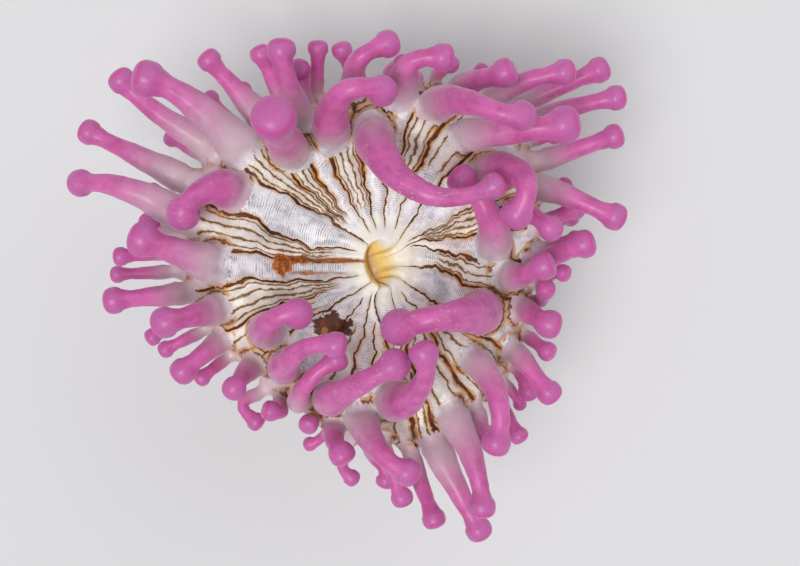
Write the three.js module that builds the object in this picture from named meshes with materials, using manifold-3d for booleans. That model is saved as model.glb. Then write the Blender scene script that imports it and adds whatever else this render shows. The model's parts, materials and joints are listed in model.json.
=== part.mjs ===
// A club-tipped sea anemone, life size, standing on its own foot with its crown of tentacles spread.
//
// The frame: millimetres, +Z up. The origin is the middle of the underside of the foot.
// The body is a column of revolution. Its crown is drawn out into three soft lobes.
// Every tentacle is a bowling-pin profile turned in a lathe and then bent along a curve.

import * as THREE from "three";
import { mergeVertices } from "three/addons/utils/BufferGeometryUtils.js";
import Module from "manifold-3d";

// Driving dimensions, in millimetres and degrees.

const GAP = 0.35; // between solids that would touch
const AROUND = 26; // sides of the column and the disc

const FOOT_RADIUS = 37.5;
const FOOT_TOP = 7;
const SCAPUS_RADIUS = 30.5; // the long lower column
const SCAPUS_TOP = 30;
const DISC_LEVEL = 68.5; // where the disc is highest
const DISC_RADIUS = 31; // where the disc meets the rounded margin
const MARGIN_ROLL = 18.5; // radius of the rounding that carries the tentacles
const MARGIN_CENTRE = DISC_LEVEL - MARGIN_ROLL; // height of the middle of that rounding
const MARGIN_EDGE = 30; // distance of that middle from the axis
const MARGIN_FLOOR = 45; // underside of the margin
const ROOT_DEPTH = 2; // how far a tentacle runs on under the skin before it is trimmed or joined

const LOBE_DEPTH = 0.09; // how far the crown's three lobes stand out, as a share of its radius
const LOBE_BEARING = 50; // bearing of the first lobe
const LOBE_FOOT = 34; // below this height the body is round
const LOBE_FULL = 58; // above this height the lobes are at their full depth

const MOUTH = [4.6, -1.6]; // middle of the lips
const LIP_RADIUS = 8.5;
const LIP_HEIGHT = 3.2;
const LIP_SHAPE = [0.72, 0.92]; // how the round lips are drawn out along X and Y
const SLIT_RADIUS = 2.2;
const SLIT_SHAPE = [0.35, 1.7]; // how the round opening is drawn out along X and Y
const SLIT_SHIFT = -4.5; // the slit lies to one side, so the lip on that side is narrow

// The four cycles of tentacles, from the disc outwards. tilt is the slope of the margin at
// the roots. sides and rings are how finely each tentacle is faceted.
const CYCLES = {
  first: { tilt: 17, arch: 6, girth: 5.2, knob: 4.0, sides: 8, joined: false },
  second: { tilt: 32, arch: 5, girth: 4.7, knob: 3.9, sides: 8, joined: false },
  third: { tilt: 52, arch: 3, girth: 3.2, knob: 3.1, sides: 6, joined: true },
  outer: { tilt: 77, arch: 2, girth: 2.2, knob: 2.4, sides: 5, joined: true },
};

// One row for each tentacle. root is the bearing of its root. tip is the bearing and reach of
// its knob from the axis and the knob's height over the disc. girth and knob are radii. arch
// is how far its middle stands above the straight line from root to knob, and sweep is how
// far it stands to the left of that line. cuts are where a long bent one is divided.
const POSES = [
  { cycle: "first", root: 3, tip: [36, 36.5, 12], girth: 4.7, arch: 5, sweep: -1 },
  { cycle: "first", root: 35, tip: [15, 39, 24], girth: 4.6, knob: 3.7, arch: 12, sweep: 6, cuts: [0.5] },
  { cycle: "first", root: 54, tip: [33, 60, 20], girth: 4.6, knob: 4.9, sweep: -2, cuts: [0.5] },
  {
    cycle: "first", root: 88, tip: [28, 36.5, 27],
    girth: 5.6, knob: 3.3, arch: 12, sweep: -14, cuts: [0.36, 0.68],
  },
  { cycle: "first", root: 107, tip: [84.5, 41.5, 22], girth: 5.3, arch: 13, sweep: 5.5, cuts: [0.5] },
  { cycle: "first", root: 127, tip: [124, 39, 42], girth: 5.5, knob: 5.6, arch: 3, cuts: [0.5] },
  { cycle: "first", root: 154, tip: [167, 49, 12], girth: 5.8, knob: 4.4, arch: 6, sweep: -5, cuts: [0.5] },
  { cycle: "first", root: 184, tip: [176, 58, 14], girth: 5.7, knob: 4.6, arch: 4 },
  { cycle: "first", root: 217, tip: [221, 22.6, 26], girth: 5.2, arch: 12, sweep: 2.5, cuts: [0.5] },
  { cycle: "first", root: 279, tip: [300, 28, 34], girth: 5.7, knob: 3.7, arch: 9, sweep: -4, cuts: [0.5] },
  { cycle: "first", root: 315, tip: [304.5, 58.5, 16], girth: 4.2, knob: 3.8, arch: 6.5, sweep: 4.5 },
  {
    cycle: "first", root: 334, tip: [294.5, 20, 26],
    girth: 6.2, knob: 4.7, arch: 17, sweep: -1.5, cuts: [0.5],
  },

  { cycle: "second", root: 18, tip: [8, 47.5, 18], girth: 3.4, knob: 3.3, arch: 7 },
  { cycle: "second", root: 67, tip: [41.5, 52, 26], girth: 5.0, arch: 13, sweep: -2, cuts: [0.5] },
  { cycle: "second", root: 78, tip: [68, 54.5, 14], girth: 4.9, knob: 3.7, arch: 5.5, sweep: 1 },
  { cycle: "second", root: 116, tip: [112.5, 57.5, 12], girth: 3.9, knob: 3.8, arch: 3 },
  { cycle: "second", root: 140, tip: [141.5, 72.5, 14], girth: 6.0, knob: 4.9, arch: 3.5 },
  { cycle: "second", root: 169, tip: [166, 79, 0], girth: 5.1, knob: 3.7, arch: 3 },
  { cycle: "second", root: 199, tip: [198.5, 54.5, 16], girth: 4.6, knob: 4.1, arch: 6.5 },
  { cycle: "second", root: 232.5, tip: [254, 24, 30], girth: 4.5, knob: 3.4, arch: 9.5, cuts: [0.5] },
  {
    cycle: "second", root: 255.5, tip: [285, 28.5, 30],
    girth: 4.8, knob: 4.1, arch: 11.5, sweep: 5, cuts: [0.5],
  },
  { cycle: "second", root: 266.5, tip: [281, 56.5, 16], girth: 4.9, knob: 3.7, arch: 6.5, sweep: 1.5 },
  { cycle: "second", root: 297, tip: [294.5, 72, 10], girth: 4.7, knob: 3.6, arch: 3.5, sweep: 2.5 },
  { cycle: "second", root: 351, tip: [356.5, 45.5, 16], girth: 4.4, knob: 3.7, arch: 4.5 },

  { cycle: "third", root: 357, tip: [3, 57, 6], girth: 3.5, knob: 3.8 },
  { cycle: "third", root: 9.4, tip: [13, 57, -5] },
  { cycle: "third", root: 25, tip: [9, 66, 4], girth: 4.0, knob: 3.7, arch: 4 },
  { cycle: "third", root: 42, tip: [32.5, 78, 2], girth: 3.6, knob: 3.4, sweep: 1 },
  { cycle: "third", root: 53, tip: [43, 71, 4], girth: 3.5, knob: 3.6, arch: 4, sweep: 1.5 },
  { cycle: "third", root: 62.5, tip: [53, 59.5, 10], girth: 3.9, knob: 3.9, arch: 3.5 },
  { cycle: "third", root: 75, tip: [72, 51, -10] },
  { cycle: "third", root: 87.5, tip: [88, 48, -12] },
  { cycle: "third", root: 95.5, tip: [84, 55.5, 8], girth: 3.9, knob: 3.7, arch: 4, sweep: -1 },
  { cycle: "third", root: 114, tip: [110, 53, -3] },
  { cycle: "third", root: 128, tip: [129, 66.5, 4], girth: 4.3, knob: 3.2, arch: 2 },
  { cycle: "third", root: 145, tip: [144.5, 81, -2], girth: 3.8, knob: 3.7, arch: 1.5, sweep: 2 },
  { cycle: "third", root: 158, tip: [156, 83, -8], girth: 4.4, knob: 3.5, arch: 1 },
  { cycle: "third", root: 172, tip: [171, 60, -9] },
  { cycle: "third", root: 191, tip: [190, 68, 4], girth: 3.5, knob: 3.6 },
  { cycle: "third", root: 209, tip: [212, 57.5, 4], girth: 3.7, knob: 3.6, arch: 4 },
  { cycle: "third", root: 223, tip: [225, 49, 10], girth: 3.8, knob: 3.2, arch: 6 },
  { cycle: "third", root: 245, tip: [257, 28, 15], girth: 3.3, knob: 3.2, arch: 7 },
  { cycle: "third", root: 259, tip: [264, 51, 8], girth: 3.5, knob: 3.5, arch: 4, sweep: -1 },
  { cycle: "third", root: 274, tip: [278, 65, 0], girth: 2.8, knob: 3.0 },
  { cycle: "third", root: 289, tip: [292, 79, -2], girth: 4.4, knob: 3.6 },
  { cycle: "third", root: 305, tip: [303, 58, -9] },
  { cycle: "third", root: 327, tip: [323, 60, 4], girth: 3.5, knob: 3.4, arch: 4 },
  { cycle: "third", root: 341, tip: [339.5, 51, 8], girth: 3.8, knob: 3.8, arch: 4 },

  { cycle: "outer", root: 350, tip: [354.5, 51, -1] },
  { cycle: "outer", root: 3, tip: [5, 57, -14] },
  { cycle: "outer", root: 10.5, tip: [11, 57, -18] },
  { cycle: "outer", root: 19.2, tip: [20, 57, -12] },
  { cycle: "outer", root: 30, tip: [26, 73.5, -4], girth: 3.3, knob: 3.4 },
  { cycle: "outer", root: 36.5, tip: [33, 61, -14] },
  { cycle: "outer", root: 47, tip: [39, 80.5, -8], girth: 3.2, knob: 3.6 },
  { cycle: "outer", root: 60, tip: [58.5, 59, -8] },
  { cycle: "outer", root: 70, tip: [66, 55, -1] },
  { cycle: "outer", root: 84, tip: [80, 52, 0] },
  { cycle: "outer", root: 93, tip: [97.5, 56, -4], knob: 2.8 },
  { cycle: "outer", root: 108.3, tip: [103.5, 57.5, -4], knob: 2.8 },
  { cycle: "outer", root: 119.5, tip: [118, 62, -6], girth: 2.9, knob: 3.0 },
  { cycle: "outer", root: 128, tip: [127, 58, -17] },
  { cycle: "outer", root: 136.5, tip: [135, 62, -16] },
  { cycle: "outer", root: 149, tip: [149, 64, -18] },
  { cycle: "outer", root: 164, tip: [163, 63, -19] },
  { cycle: "outer", root: 178.5, tip: [180, 67, -6], knob: 2.6 },
  { cycle: "outer", root: 184, tip: [184, 69, -12] },
  { cycle: "outer", root: 197.5, tip: [200.5, 62, -4] },
  { cycle: "outer", root: 203.5, tip: [204.5, 61, -11] },
  { cycle: "outer", root: 215, tip: [216, 56, -8] },
  { cycle: "outer", root: 232.5, tip: [237, 54, -10], knob: 2.6 },
  { cycle: "outer", root: 238, tip: [240, 46, 2], girth: 2.5, knob: 2.8 },
  { cycle: "outer", root: 251, tip: [252, 47, -1], girth: 2.5, knob: 2.7 },
  { cycle: "outer", root: 257.3, tip: [251.5, 52, -12], girth: 1.9, knob: 2.0 },
  { cycle: "outer", root: 264.5, tip: [269, 58, -13] },
  { cycle: "outer", root: 270, tip: [274, 61, -8], girth: 2.8, knob: 2.7 },
  { cycle: "outer", root: 282, tip: [284, 73, -5], girth: 2.8, knob: 3.2 },
  { cycle: "outer", root: 289.5, tip: [290, 62, -16] },
  { cycle: "outer", root: 296.5, tip: [298, 61, -15] },
  { cycle: "outer", root: 312, tip: [310, 63, -4], knob: 2.6 },
  { cycle: "outer", root: 317.5, tip: [315.5, 58, -14], girth: 1.9, knob: 1.9 },
  { cycle: "outer", root: 323.5, tip: [319.5, 57, -9], girth: 2.6, knob: 2.9 },
  { cycle: "outer", root: 333, tip: [332, 54.5, -3], knob: 2.7 },
  { cycle: "outer", root: 344, tip: [347.5, 47, 0], knob: 2.7 },
];

// Bearings at which the margin is parted into sectors, in the gaps between roots.
const PARTINGS = [
  15, 34, 57.5, 80.4, 103.9, 133, 151.5, 181.3, 201, 229, 254.5, 278.5, 300.5, 320.6, 347.3,
];

// Materials.

const material = (colour, roughness) =>
  new THREE.MeshStandardMaterial({ color: colour, roughness, metalness: 0 });

const FOOT_FLESH = material(0xd9b3a6, 0.5);
const BARK = material(0x7a5638, 0.8);
const PALE_FLESH = material(0xe8cfd8, 0.4);
const DISC_FLESH = material(0xece6ea, 0.4);
const LIP_FLESH = material(0xd8b25a, 0.4);
const PINK_FLESH = material(0xcf5aa3, 0.35);

// The shape of the body.

const radians = (degrees) => (degrees * Math.PI) / 180;

function smoothstep(from, to, value) {
  const share = Math.min(Math.max((value - from) / (to - from), 0), 1);
  return share * share * (3 - 2 * share);
}

// How much wider the body is than a round one, at a bearing in radians and a height.
function lobe(bearing, height) {
  const depth = LOBE_DEPTH * smoothstep(LOBE_FOOT, LOBE_FULL, height);
  return 1 + depth * Math.cos(3 * (bearing - radians(LOBE_BEARING)));
}

// A point on the rounded margin, and the way the skin faces there.
function rootOn(bearingDegrees, tiltDegrees) {
  const bearing = radians(bearingDegrees);
  const tilt = radians(tiltDegrees);
  const height = MARGIN_CENTRE + MARGIN_ROLL * Math.cos(tilt);
  const swell = 3 * (bearing - radians(LOBE_BEARING));
  const turn = Math.atan((3 * LOBE_DEPTH * Math.sin(swell)) / (1 + LOBE_DEPTH * Math.cos(swell)));
  const radius = (MARGIN_EDGE + MARGIN_ROLL * Math.sin(tilt)) * lobe(bearing, height);
  const point = new THREE.Vector3(radius * Math.cos(bearing), radius * Math.sin(bearing), height);
  const facing = new THREE.Vector3(
    Math.sin(tilt) * Math.cos(bearing + turn),
    Math.sin(tilt) * Math.sin(bearing + turn),
    Math.cos(tilt),
  );
  return { point, facing };
}

// The four control points of a tentacle's curve, from its root to the middle of its knob. It is
// the parabola through the tentacle's middle point, with its start turned part of the way to
// the direction in which the skin faces.
function curveOf(pose) {
  const cycle = CYCLES[pose.cycle];
  const { point, facing } = rootOn(pose.root, cycle.tilt);
  const [bearing, reach, height] = pose.tip;
  const knob = new THREE.Vector3(
    reach * Math.cos(radians(bearing)),
    reach * Math.sin(radians(bearing)),
    DISC_LEVEL + height,
  );
  const chord = knob.clone().sub(point);
  const left = new THREE.Vector3(-chord.y, chord.x, 0).normalize();
  const peak = point.clone().add(knob).multiplyScalar(0.5);
  peak.z += 2 * (pose.arch ?? cycle.arch);
  peak.addScaledVector(left, 2 * (pose.sweep ?? 0));
  const rise = peak.clone().sub(point);
  const stem = (rise.length() * 2) / 3;
  const leaving = rise.normalize().multiplyScalar(0.55).addScaledVector(facing, 0.45).normalize();
  const start = point.clone().addScaledVector(leaving, stem);
  const end = peak.lerp(knob, 1 / 3);
  return [point, start, end, knob];
}

// Half the thickness of a tentacle at a share of its length, from root to the middle of its knob.
function thickness(share, length, girth, knob) {
  const neck = 0.7 * knob;
  const swelling = girth * (0.8 + 0.2 * smoothstep(0, 0.2, share));
  const shaft = THREE.MathUtils.lerp(swelling, neck, smoothstep(0.1, 1, share) ** 0.8);
  const beyond = (1 - share) * length;
  const ball = beyond < knob ? Math.sqrt(knob * knob - beyond * beyond) : 0;
  return Math.max(beyond > 0 ? shaft : 0, ball);
}

// Neighbours that would touch lean apart. Each pass measures balls strung along every
// tentacle and pushes the outer control points of any two that come too close.
const BALLS = 14;
const PASSES = 400;
const CLEARANCE = 0.9;

function spreadApart(tentacles) {
  const weights = [];
  for (let ball = 0; ball < BALLS; ball += 1) {
    const t = ball / (BALLS - 1);
    const s = 1 - t;
    weights.push([s * s * s, 3 * s * s * t, 3 * s * t * t, t * t * t]);
  }
  for (let pass = 0; pass < PASSES; pass += 1) {
    const strings = tentacles.map(({ points }) =>
      weights.map((share) => {
        const place = new THREE.Vector3();
        points.forEach((point, index) => place.addScaledVector(point, share[index]));
        return place;
      }),
    );
    let touching = 0;
    tentacles.forEach((one, i) => {
      for (let j = i + 1; j < tentacles.length; j += 1) {
        const other = tentacles[j];
        const apart = one.points[0].distanceTo(other.points[0]);
        if (apart > one.reach + other.reach) {
          continue;
        }
        for (let a = 0; a < BALLS; a += 1) {
          for (let b = 0; b < BALLS; b += 1) {
            const away = strings[i][a].clone().sub(strings[j][b]);
            const space = away.length() - one.radii[a] - other.radii[b] - CLEARANCE;
            if (space < 0 && a + b > 1) {
              touching += 1;
              away.normalize().multiplyScalar(-0.25 * space);
              for (const k of [2, 3]) {
                one.points[k].addScaledVector(away, weights[a][k]);
                other.points[k].addScaledVector(away, -weights[b][k]);
              }
            }
          }
        }
      }
    });
    if (touching === 0) {
      break;
    }
  }
}

function poseAll() {
  const tentacles = POSES.map((pose) => {
    const cycle = CYCLES[pose.cycle];
    const points = curveOf(pose);
    const length = new THREE.CubicBezierCurve3(...points).getLength();
    const girth = pose.girth ?? cycle.girth;
    const knob = pose.knob ?? cycle.knob;
    const radii = [];
    for (let ball = 0; ball < BALLS; ball += 1) {
      radii.push(thickness(ball / (BALLS - 1), length, girth, knob));
    }
    return { pose, cycle, points, girth, knob, radii, reach: length + knob };
  });
  spreadApart(tentacles);
  return tentacles;
}

// Lathe work.

// A closed solid turned about the vertical axis through the profile's [radius, height] points.
function turned(profile, sides) {
  const geometry = new THREE.LatheGeometry(
    profile.map(([radius, height]) => new THREE.Vector2(radius, height)),
    sides,
  );
  geometry.rotateX(Math.PI / 2);
  return geometry;
}

// Draws the crown out into its lobes.
function lobed(geometry) {
  const places = geometry.attributes.position;
  for (let i = 0; i < places.count; i += 1) {
    const [x, y, z] = [places.getX(i), places.getY(i), places.getZ(i)];
    const wider = lobe(Math.atan2(y, x), z);
    places.setXYZ(i, x * wider, y * wider, z);
  }
  return geometry;
}

// One length of a tentacle, between two shares of its length. The last length ends in the knob.
function lengthOf(tentacle, from, to) {
  const { points, girth, knob, cycle } = tentacle;
  const curve = new THREE.CubicBezierCurve3(...points);
  const length = curve.getLength();
  const steps = 40;
  const frames = curve.computeFrenetFrames(steps, false);
  const shares = cycle.joined ? [0, 0.3, 0.84] : [0, 0.18, 0.45, 0.84];
  const inside = shares.filter((share) => share > from + 0.06 && share < to - 0.06);
  const first = from === 0 ? -ROOT_DEPTH : from * length + GAP / 2;
  const profile = [[0, first]];
  profile.push([thickness(from, length, girth, knob), first]);
  inside.forEach((share) => profile.push([thickness(share, length, girth, knob), share * length]));
  if (to < 1) {
    profile.push([thickness(to, length, girth, knob), to * length - GAP / 2]);
    profile.push([0, to * length - GAP / 2]);
  } else {
    for (const latitude of cycle.joined ? [-20, 45] : [-35, 5, 50]) {
      const around = knob * Math.cos(radians(latitude));
      profile.push([around, length + knob * Math.sin(radians(latitude))]);
    }
    profile.push([0, length + knob]);
  }
  const geometry = turned(profile, cycle.sides);
  const places = geometry.attributes.position;
  for (let i = 0; i < places.count; i += 1) {
    const along = Math.min(Math.max(places.getZ(i) / length, 0), 1);
    const beyond = places.getZ(i) - along * length;
    const at = Math.min(Math.floor(along * steps), steps - 1);
    const mix = along * steps - at;
    const [tangent, normal, binormal] = [frames.tangents, frames.normals, frames.binormals].map((list) =>
      list[at].clone().lerp(list[at + 1], mix).normalize(),
    );
    const place = curve.getPointAt(along);
    place.addScaledVector(tangent, beyond);
    place.addScaledVector(normal, places.getX(i));
    place.addScaledVector(binormal, places.getY(i));
    places.setXYZ(i, place.x, place.y, place.z);
  }
  return geometry;
}

// The rounded outer face of the margin, from its floor up to the disc.
function marginOutline(roll) {
  const outline = [[SCAPUS_RADIUS + 13.2, MARGIN_FLOOR]];
  for (const tilt of [88, 64, 40, 18]) {
    const out = MARGIN_EDGE + roll * Math.sin(radians(tilt));
    outline.push([out, MARGIN_CENTRE + roll * Math.cos(radians(tilt))]);
  }
  return outline;
}

// Joining and cutting.

const wasm = await Module();
wasm.setup();

function solid(geometry) {
  const bare = geometry.clone();
  bare.deleteAttribute("normal");
  bare.deleteAttribute("uv");
  const merged = mergeVertices(bare, 1e-4);
  const corners = merged.index.array;
  const kept = [];
  for (let i = 0; i < corners.length; i += 3) {
    const [a, b, c] = corners.slice(i, i + 3);
    if (a !== b && b !== c && c !== a) {
      kept.push(a, b, c);
    }
  }
  return new wasm.Manifold(
    new wasm.Mesh({
      numProp: 3,
      vertProperties: new Float32Array(merged.attributes.position.array),
      triVerts: new Uint32Array(kept),
    }),
  );
}

function surface(manifold) {
  const mesh = manifold.getMesh();
  const geometry = new THREE.BufferGeometry();
  geometry.setAttribute("position", new THREE.BufferAttribute(mesh.vertProperties, 3));
  geometry.setIndex(new THREE.BufferAttribute(mesh.triVerts, 1));
  geometry.computeVertexNormals();
  return geometry;
}

// A wedge between two bearings, drawn in by half the gap along each side.
function wedge(from, to) {
  const reach = 120;
  const middle = radians((from + to) / 2);
  const half = radians((to - from) / 2);
  const tip = GAP / 2 / Math.sin(half);
  const shape = new THREE.Shape();
  shape.moveTo(tip * Math.cos(middle), tip * Math.sin(middle));
  shape.lineTo(reach * Math.cos(middle - half), reach * Math.sin(middle - half));
  shape.lineTo(reach * Math.cos(middle + half), reach * Math.sin(middle + half));
  shape.closePath();
  return new THREE.ExtrudeGeometry(shape, { depth: 100, bevelEnabled: false });
}

// The object.

const anemone = new THREE.Group();

function add(name, geometry, finish) {
  const mesh = new THREE.Mesh(geometry, finish);
  mesh.name = name;
  anemone.add(mesh);
}

// The foot: a spreading disc with a soft edge, flat underneath.
add(
  "pedal_disc",
  turned(
    [
      [0, 0],
      [FOOT_RADIUS - 1.5, 0],
      [FOOT_RADIUS, 2],
      [FOOT_RADIUS - 1.5, 4.2],
      [FOOT_RADIUS - 4.5, FOOT_TOP],
      [0, FOOT_TOP],
    ],
    AROUND,
  ),
  FOOT_FLESH,
);

// The scapus: the long lower column, drawn in a little at its middle.
add(
  "scapus",
  turned(
    [
      [0, FOOT_TOP + GAP],
      [FOOT_RADIUS - 4.7, FOOT_TOP + GAP],
      [SCAPUS_RADIUS + 0.6, 12],
      [SCAPUS_RADIUS - 0.3, 21],
      [SCAPUS_RADIUS + 0.5, SCAPUS_TOP],
      [0, SCAPUS_TOP],
    ],
    AROUND,
  ),
  BARK,
);

// The scapulus: the bare upper column, which flares out to the margin.
add(
  "scapulus",
  lobed(
    turned(
      [
        [0, SCAPUS_TOP + GAP],
        [SCAPUS_RADIUS + 0.5, SCAPUS_TOP + GAP],
        [SCAPUS_RADIUS + 3, 36],
        [SCAPUS_RADIUS + 8, 41],
        [SCAPUS_RADIUS + 13, MARGIN_FLOOR - GAP],
        [0, MARGIN_FLOOR - GAP],
      ],
      AROUND,
    ),
  ),
  PALE_FLESH,
);

// The oral disc: shallowly dished round a low cone, with an oval seat for the lips.
add(
  "oral_disc",
  lobed(
    turned(
      [
        [0, MARGIN_FLOOR],
        [DISC_RADIUS, MARGIN_FLOOR],
        [DISC_RADIUS, DISC_LEVEL],
        [20, DISC_LEVEL - 1.4],
        [13, DISC_LEVEL - 1.4],
        [0, DISC_LEVEL - 1.4],
      ],
      AROUND,
    ),
  ),
  DISC_FLESH,
);

// The lips: an oval ring round the slit of the mouth.
{
  const floor = DISC_LEVEL - 1.4 + GAP;
  const ring = turned(
    [
      [SLIT_RADIUS, floor],
      [LIP_RADIUS, floor],
      [LIP_RADIUS * 0.86, floor + LIP_HEIGHT * 0.62],
      [LIP_RADIUS * 0.55, floor + LIP_HEIGHT],
      [SLIT_RADIUS, floor + LIP_HEIGHT * 0.6],
      [SLIT_RADIUS, floor],
    ],
    16,
  );
  const places = ring.attributes.position;
  for (let i = 0; i < places.count; i += 1) {
    const [x, y] = [places.getX(i), places.getY(i)];
    const out = Math.hypot(x, y);
    const [wide, tall] = out < SLIT_RADIUS + 0.1 ? SLIT_SHAPE : LIP_SHAPE;
    const shift = SLIT_SHIFT * (1 - out / LIP_RADIUS);
    places.setXY(i, MOUTH[0] + shift + x * wide, MOUTH[1] + y * tall);
  }
  add("lips", ring, LIP_FLESH);
}

// The margin: one rounded ring, parted into sectors, each with its small outer tentacles.
const tentacles = poseAll();
const joined = tentacles.filter(({ cycle }) => cycle.joined);
const single = tentacles.filter(({ cycle }) => !cycle.joined);

{
  const inner = DISC_RADIUS + 2 * GAP;
  const outline = [[inner, MARGIN_FLOOR], ...marginOutline(MARGIN_ROLL), [inner, DISC_LEVEL - 0.05]];
  const ring = solid(lobed(turned([...outline, outline[0]], AROUND)));
  PARTINGS.forEach((from, index) => {
    const next = PARTINGS[index + 1] ?? PARTINGS[0] + 360;
    let sector = ring.intersect(solid(wedge(from, next)));
    for (const tentacle of joined) {
      const root = tentacle.pose.root < PARTINGS[0] ? tentacle.pose.root + 360 : tentacle.pose.root;
      if (root > from && root < next) {
        sector = sector.add(solid(lengthOf(tentacle, 0, 1)));
      }
    }
    const number = String(index + 1).padStart(2, "0");
    add(`margin_${number}`, surface(sector), PINK_FLESH);
  });
}

// The inner tentacles, each trimmed to stand on the margin with the gap between. A long bent
// one is in a few lengths.
const seat = solid(
  lobed(
    turned(
      [
        [0, MARGIN_FLOOR],
        ...marginOutline(MARGIN_ROLL + GAP),
        [MARGIN_EDGE, DISC_LEVEL + GAP],
        [0, DISC_LEVEL + GAP],
      ],
      AROUND,
    ),
  ),
);

single.forEach((tentacle, index) => {
  const number = String(index + 1).padStart(2, "0");
  const stops = [0, ...(tentacle.pose.cuts ?? []), 1];
  const names = { 2: [""], 3: ["_shaft", "_club"], 4: ["_shaft", "_bend", "_club"] }[stops.length];
  names.forEach((ending, k) => {
    const part = lengthOf(tentacle, stops[k], stops[k + 1]);
    const fitted = k === 0 ? surface(solid(part).subtract(seat)) : part;
    add(`tentacle_${number}${ending}`, fitted, PINK_FLESH);
  });
});

export default anemone;
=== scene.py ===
# A club-tipped sea anemone, life size, alive on its foot with its crown spread.
# Every shape here is worked out in millimetres and turned into metres as its mesh is made.

import json
import math

import bmesh
import bpy
import numpy as np
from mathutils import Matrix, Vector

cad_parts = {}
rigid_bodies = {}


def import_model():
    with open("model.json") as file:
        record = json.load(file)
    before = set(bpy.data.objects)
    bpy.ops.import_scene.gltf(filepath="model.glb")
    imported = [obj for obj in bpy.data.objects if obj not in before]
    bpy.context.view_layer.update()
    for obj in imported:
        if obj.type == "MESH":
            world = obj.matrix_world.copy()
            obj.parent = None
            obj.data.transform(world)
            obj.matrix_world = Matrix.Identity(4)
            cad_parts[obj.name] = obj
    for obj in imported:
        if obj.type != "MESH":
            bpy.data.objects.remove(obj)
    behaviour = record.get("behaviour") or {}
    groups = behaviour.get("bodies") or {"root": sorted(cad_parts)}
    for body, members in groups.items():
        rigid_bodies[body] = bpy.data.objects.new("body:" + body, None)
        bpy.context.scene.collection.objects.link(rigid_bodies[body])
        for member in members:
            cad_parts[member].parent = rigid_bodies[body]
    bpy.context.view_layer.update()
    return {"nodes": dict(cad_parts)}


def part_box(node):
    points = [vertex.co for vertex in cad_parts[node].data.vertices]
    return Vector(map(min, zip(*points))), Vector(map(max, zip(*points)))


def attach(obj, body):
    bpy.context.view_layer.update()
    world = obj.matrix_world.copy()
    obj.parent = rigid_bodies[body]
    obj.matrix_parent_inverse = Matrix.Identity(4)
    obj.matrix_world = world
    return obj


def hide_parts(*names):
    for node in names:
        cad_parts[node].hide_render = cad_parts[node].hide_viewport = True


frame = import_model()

MM = 0.001  # one millimetre in metres


# ---------------------------------------------------------------------------------------
# The point of view: straight down on the crown from a little under half a metre, with the
# animal's +Y side at the top.

view = bpy.data.cameras.new("view_from_above")
view.sensor_width = 36
view.lens = 70.95
watcher = bpy.data.objects.new("view_from_above", view)
watcher.location = (8.52 * MM, -7.19 * MM, 488.5 * MM)
bpy.context.scene.collection.objects.link(watcher)
bpy.context.scene.camera = watcher


# ---------------------------------------------------------------------------------------
# The body's plan: a hollow, water-filled sack of muscle, round at its foot and drawn out
# into three soft lobes at its crown. The disc across its top carries the mouth, and its
# rounded margin carries the tentacles.

DISC_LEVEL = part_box("oral_disc")[1][2] / MM
MARGIN_ROLL = 18.5  # radius of the rounding that carries the tentacles
MARGIN_CENTRE = DISC_LEVEL - MARGIN_ROLL
MARGIN_EDGE = 30  # distance of the middle of that rounding from the axis
LOBE_DEPTH = 0.09
LOBE_BEARING = math.radians(50)
LOBE_FOOT = 34
LOBE_FULL = 58


def smoothstep(low, high, value):
    """The cubic that leaves 0 at low and settles at 1 at high, both without a corner."""
    share = np.clip((value - low) / (high - low), 0, 1)
    return share * share * (3 - 2 * share)


def lobe(bearing, height):
    """How much wider the body is than a round one: a cosine with three crests."""
    depth = LOBE_DEPTH * smoothstep(LOBE_FOOT, LOBE_FULL, height)
    return 1 + depth * np.cos(3 * (bearing - LOBE_BEARING))


def heading(bearing):
    """The level direction of a bearing, of length one."""
    return np.stack([np.cos(bearing), np.sin(bearing)], axis=-1)


def on_body(bearing, radius, height):
    """The point at a bearing, a radius before the lobes are drawn out, and a height."""
    out = radius * lobe(bearing, height)
    flat = np.broadcast_to(height, out.shape)
    return np.concatenate([out[..., None] * heading(bearing), flat[..., None]], axis=-1)


# ---------------------------------------------------------------------------------------
# The radial lines: the disc is quilted into petals by dark furrows that run out from the
# lips and pass between the tentacles. Each row gives a furrow's bearing at the lips,
# halfway and at the margin, where on that way its dark ink begins, the ink's half width at
# the same three places, and how much gold it has where it leaves the disc. bands is into
# how many narrow ridges the petal on its anticlockwise side is parted by finer lines, and
# where on the way out these begin.

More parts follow.
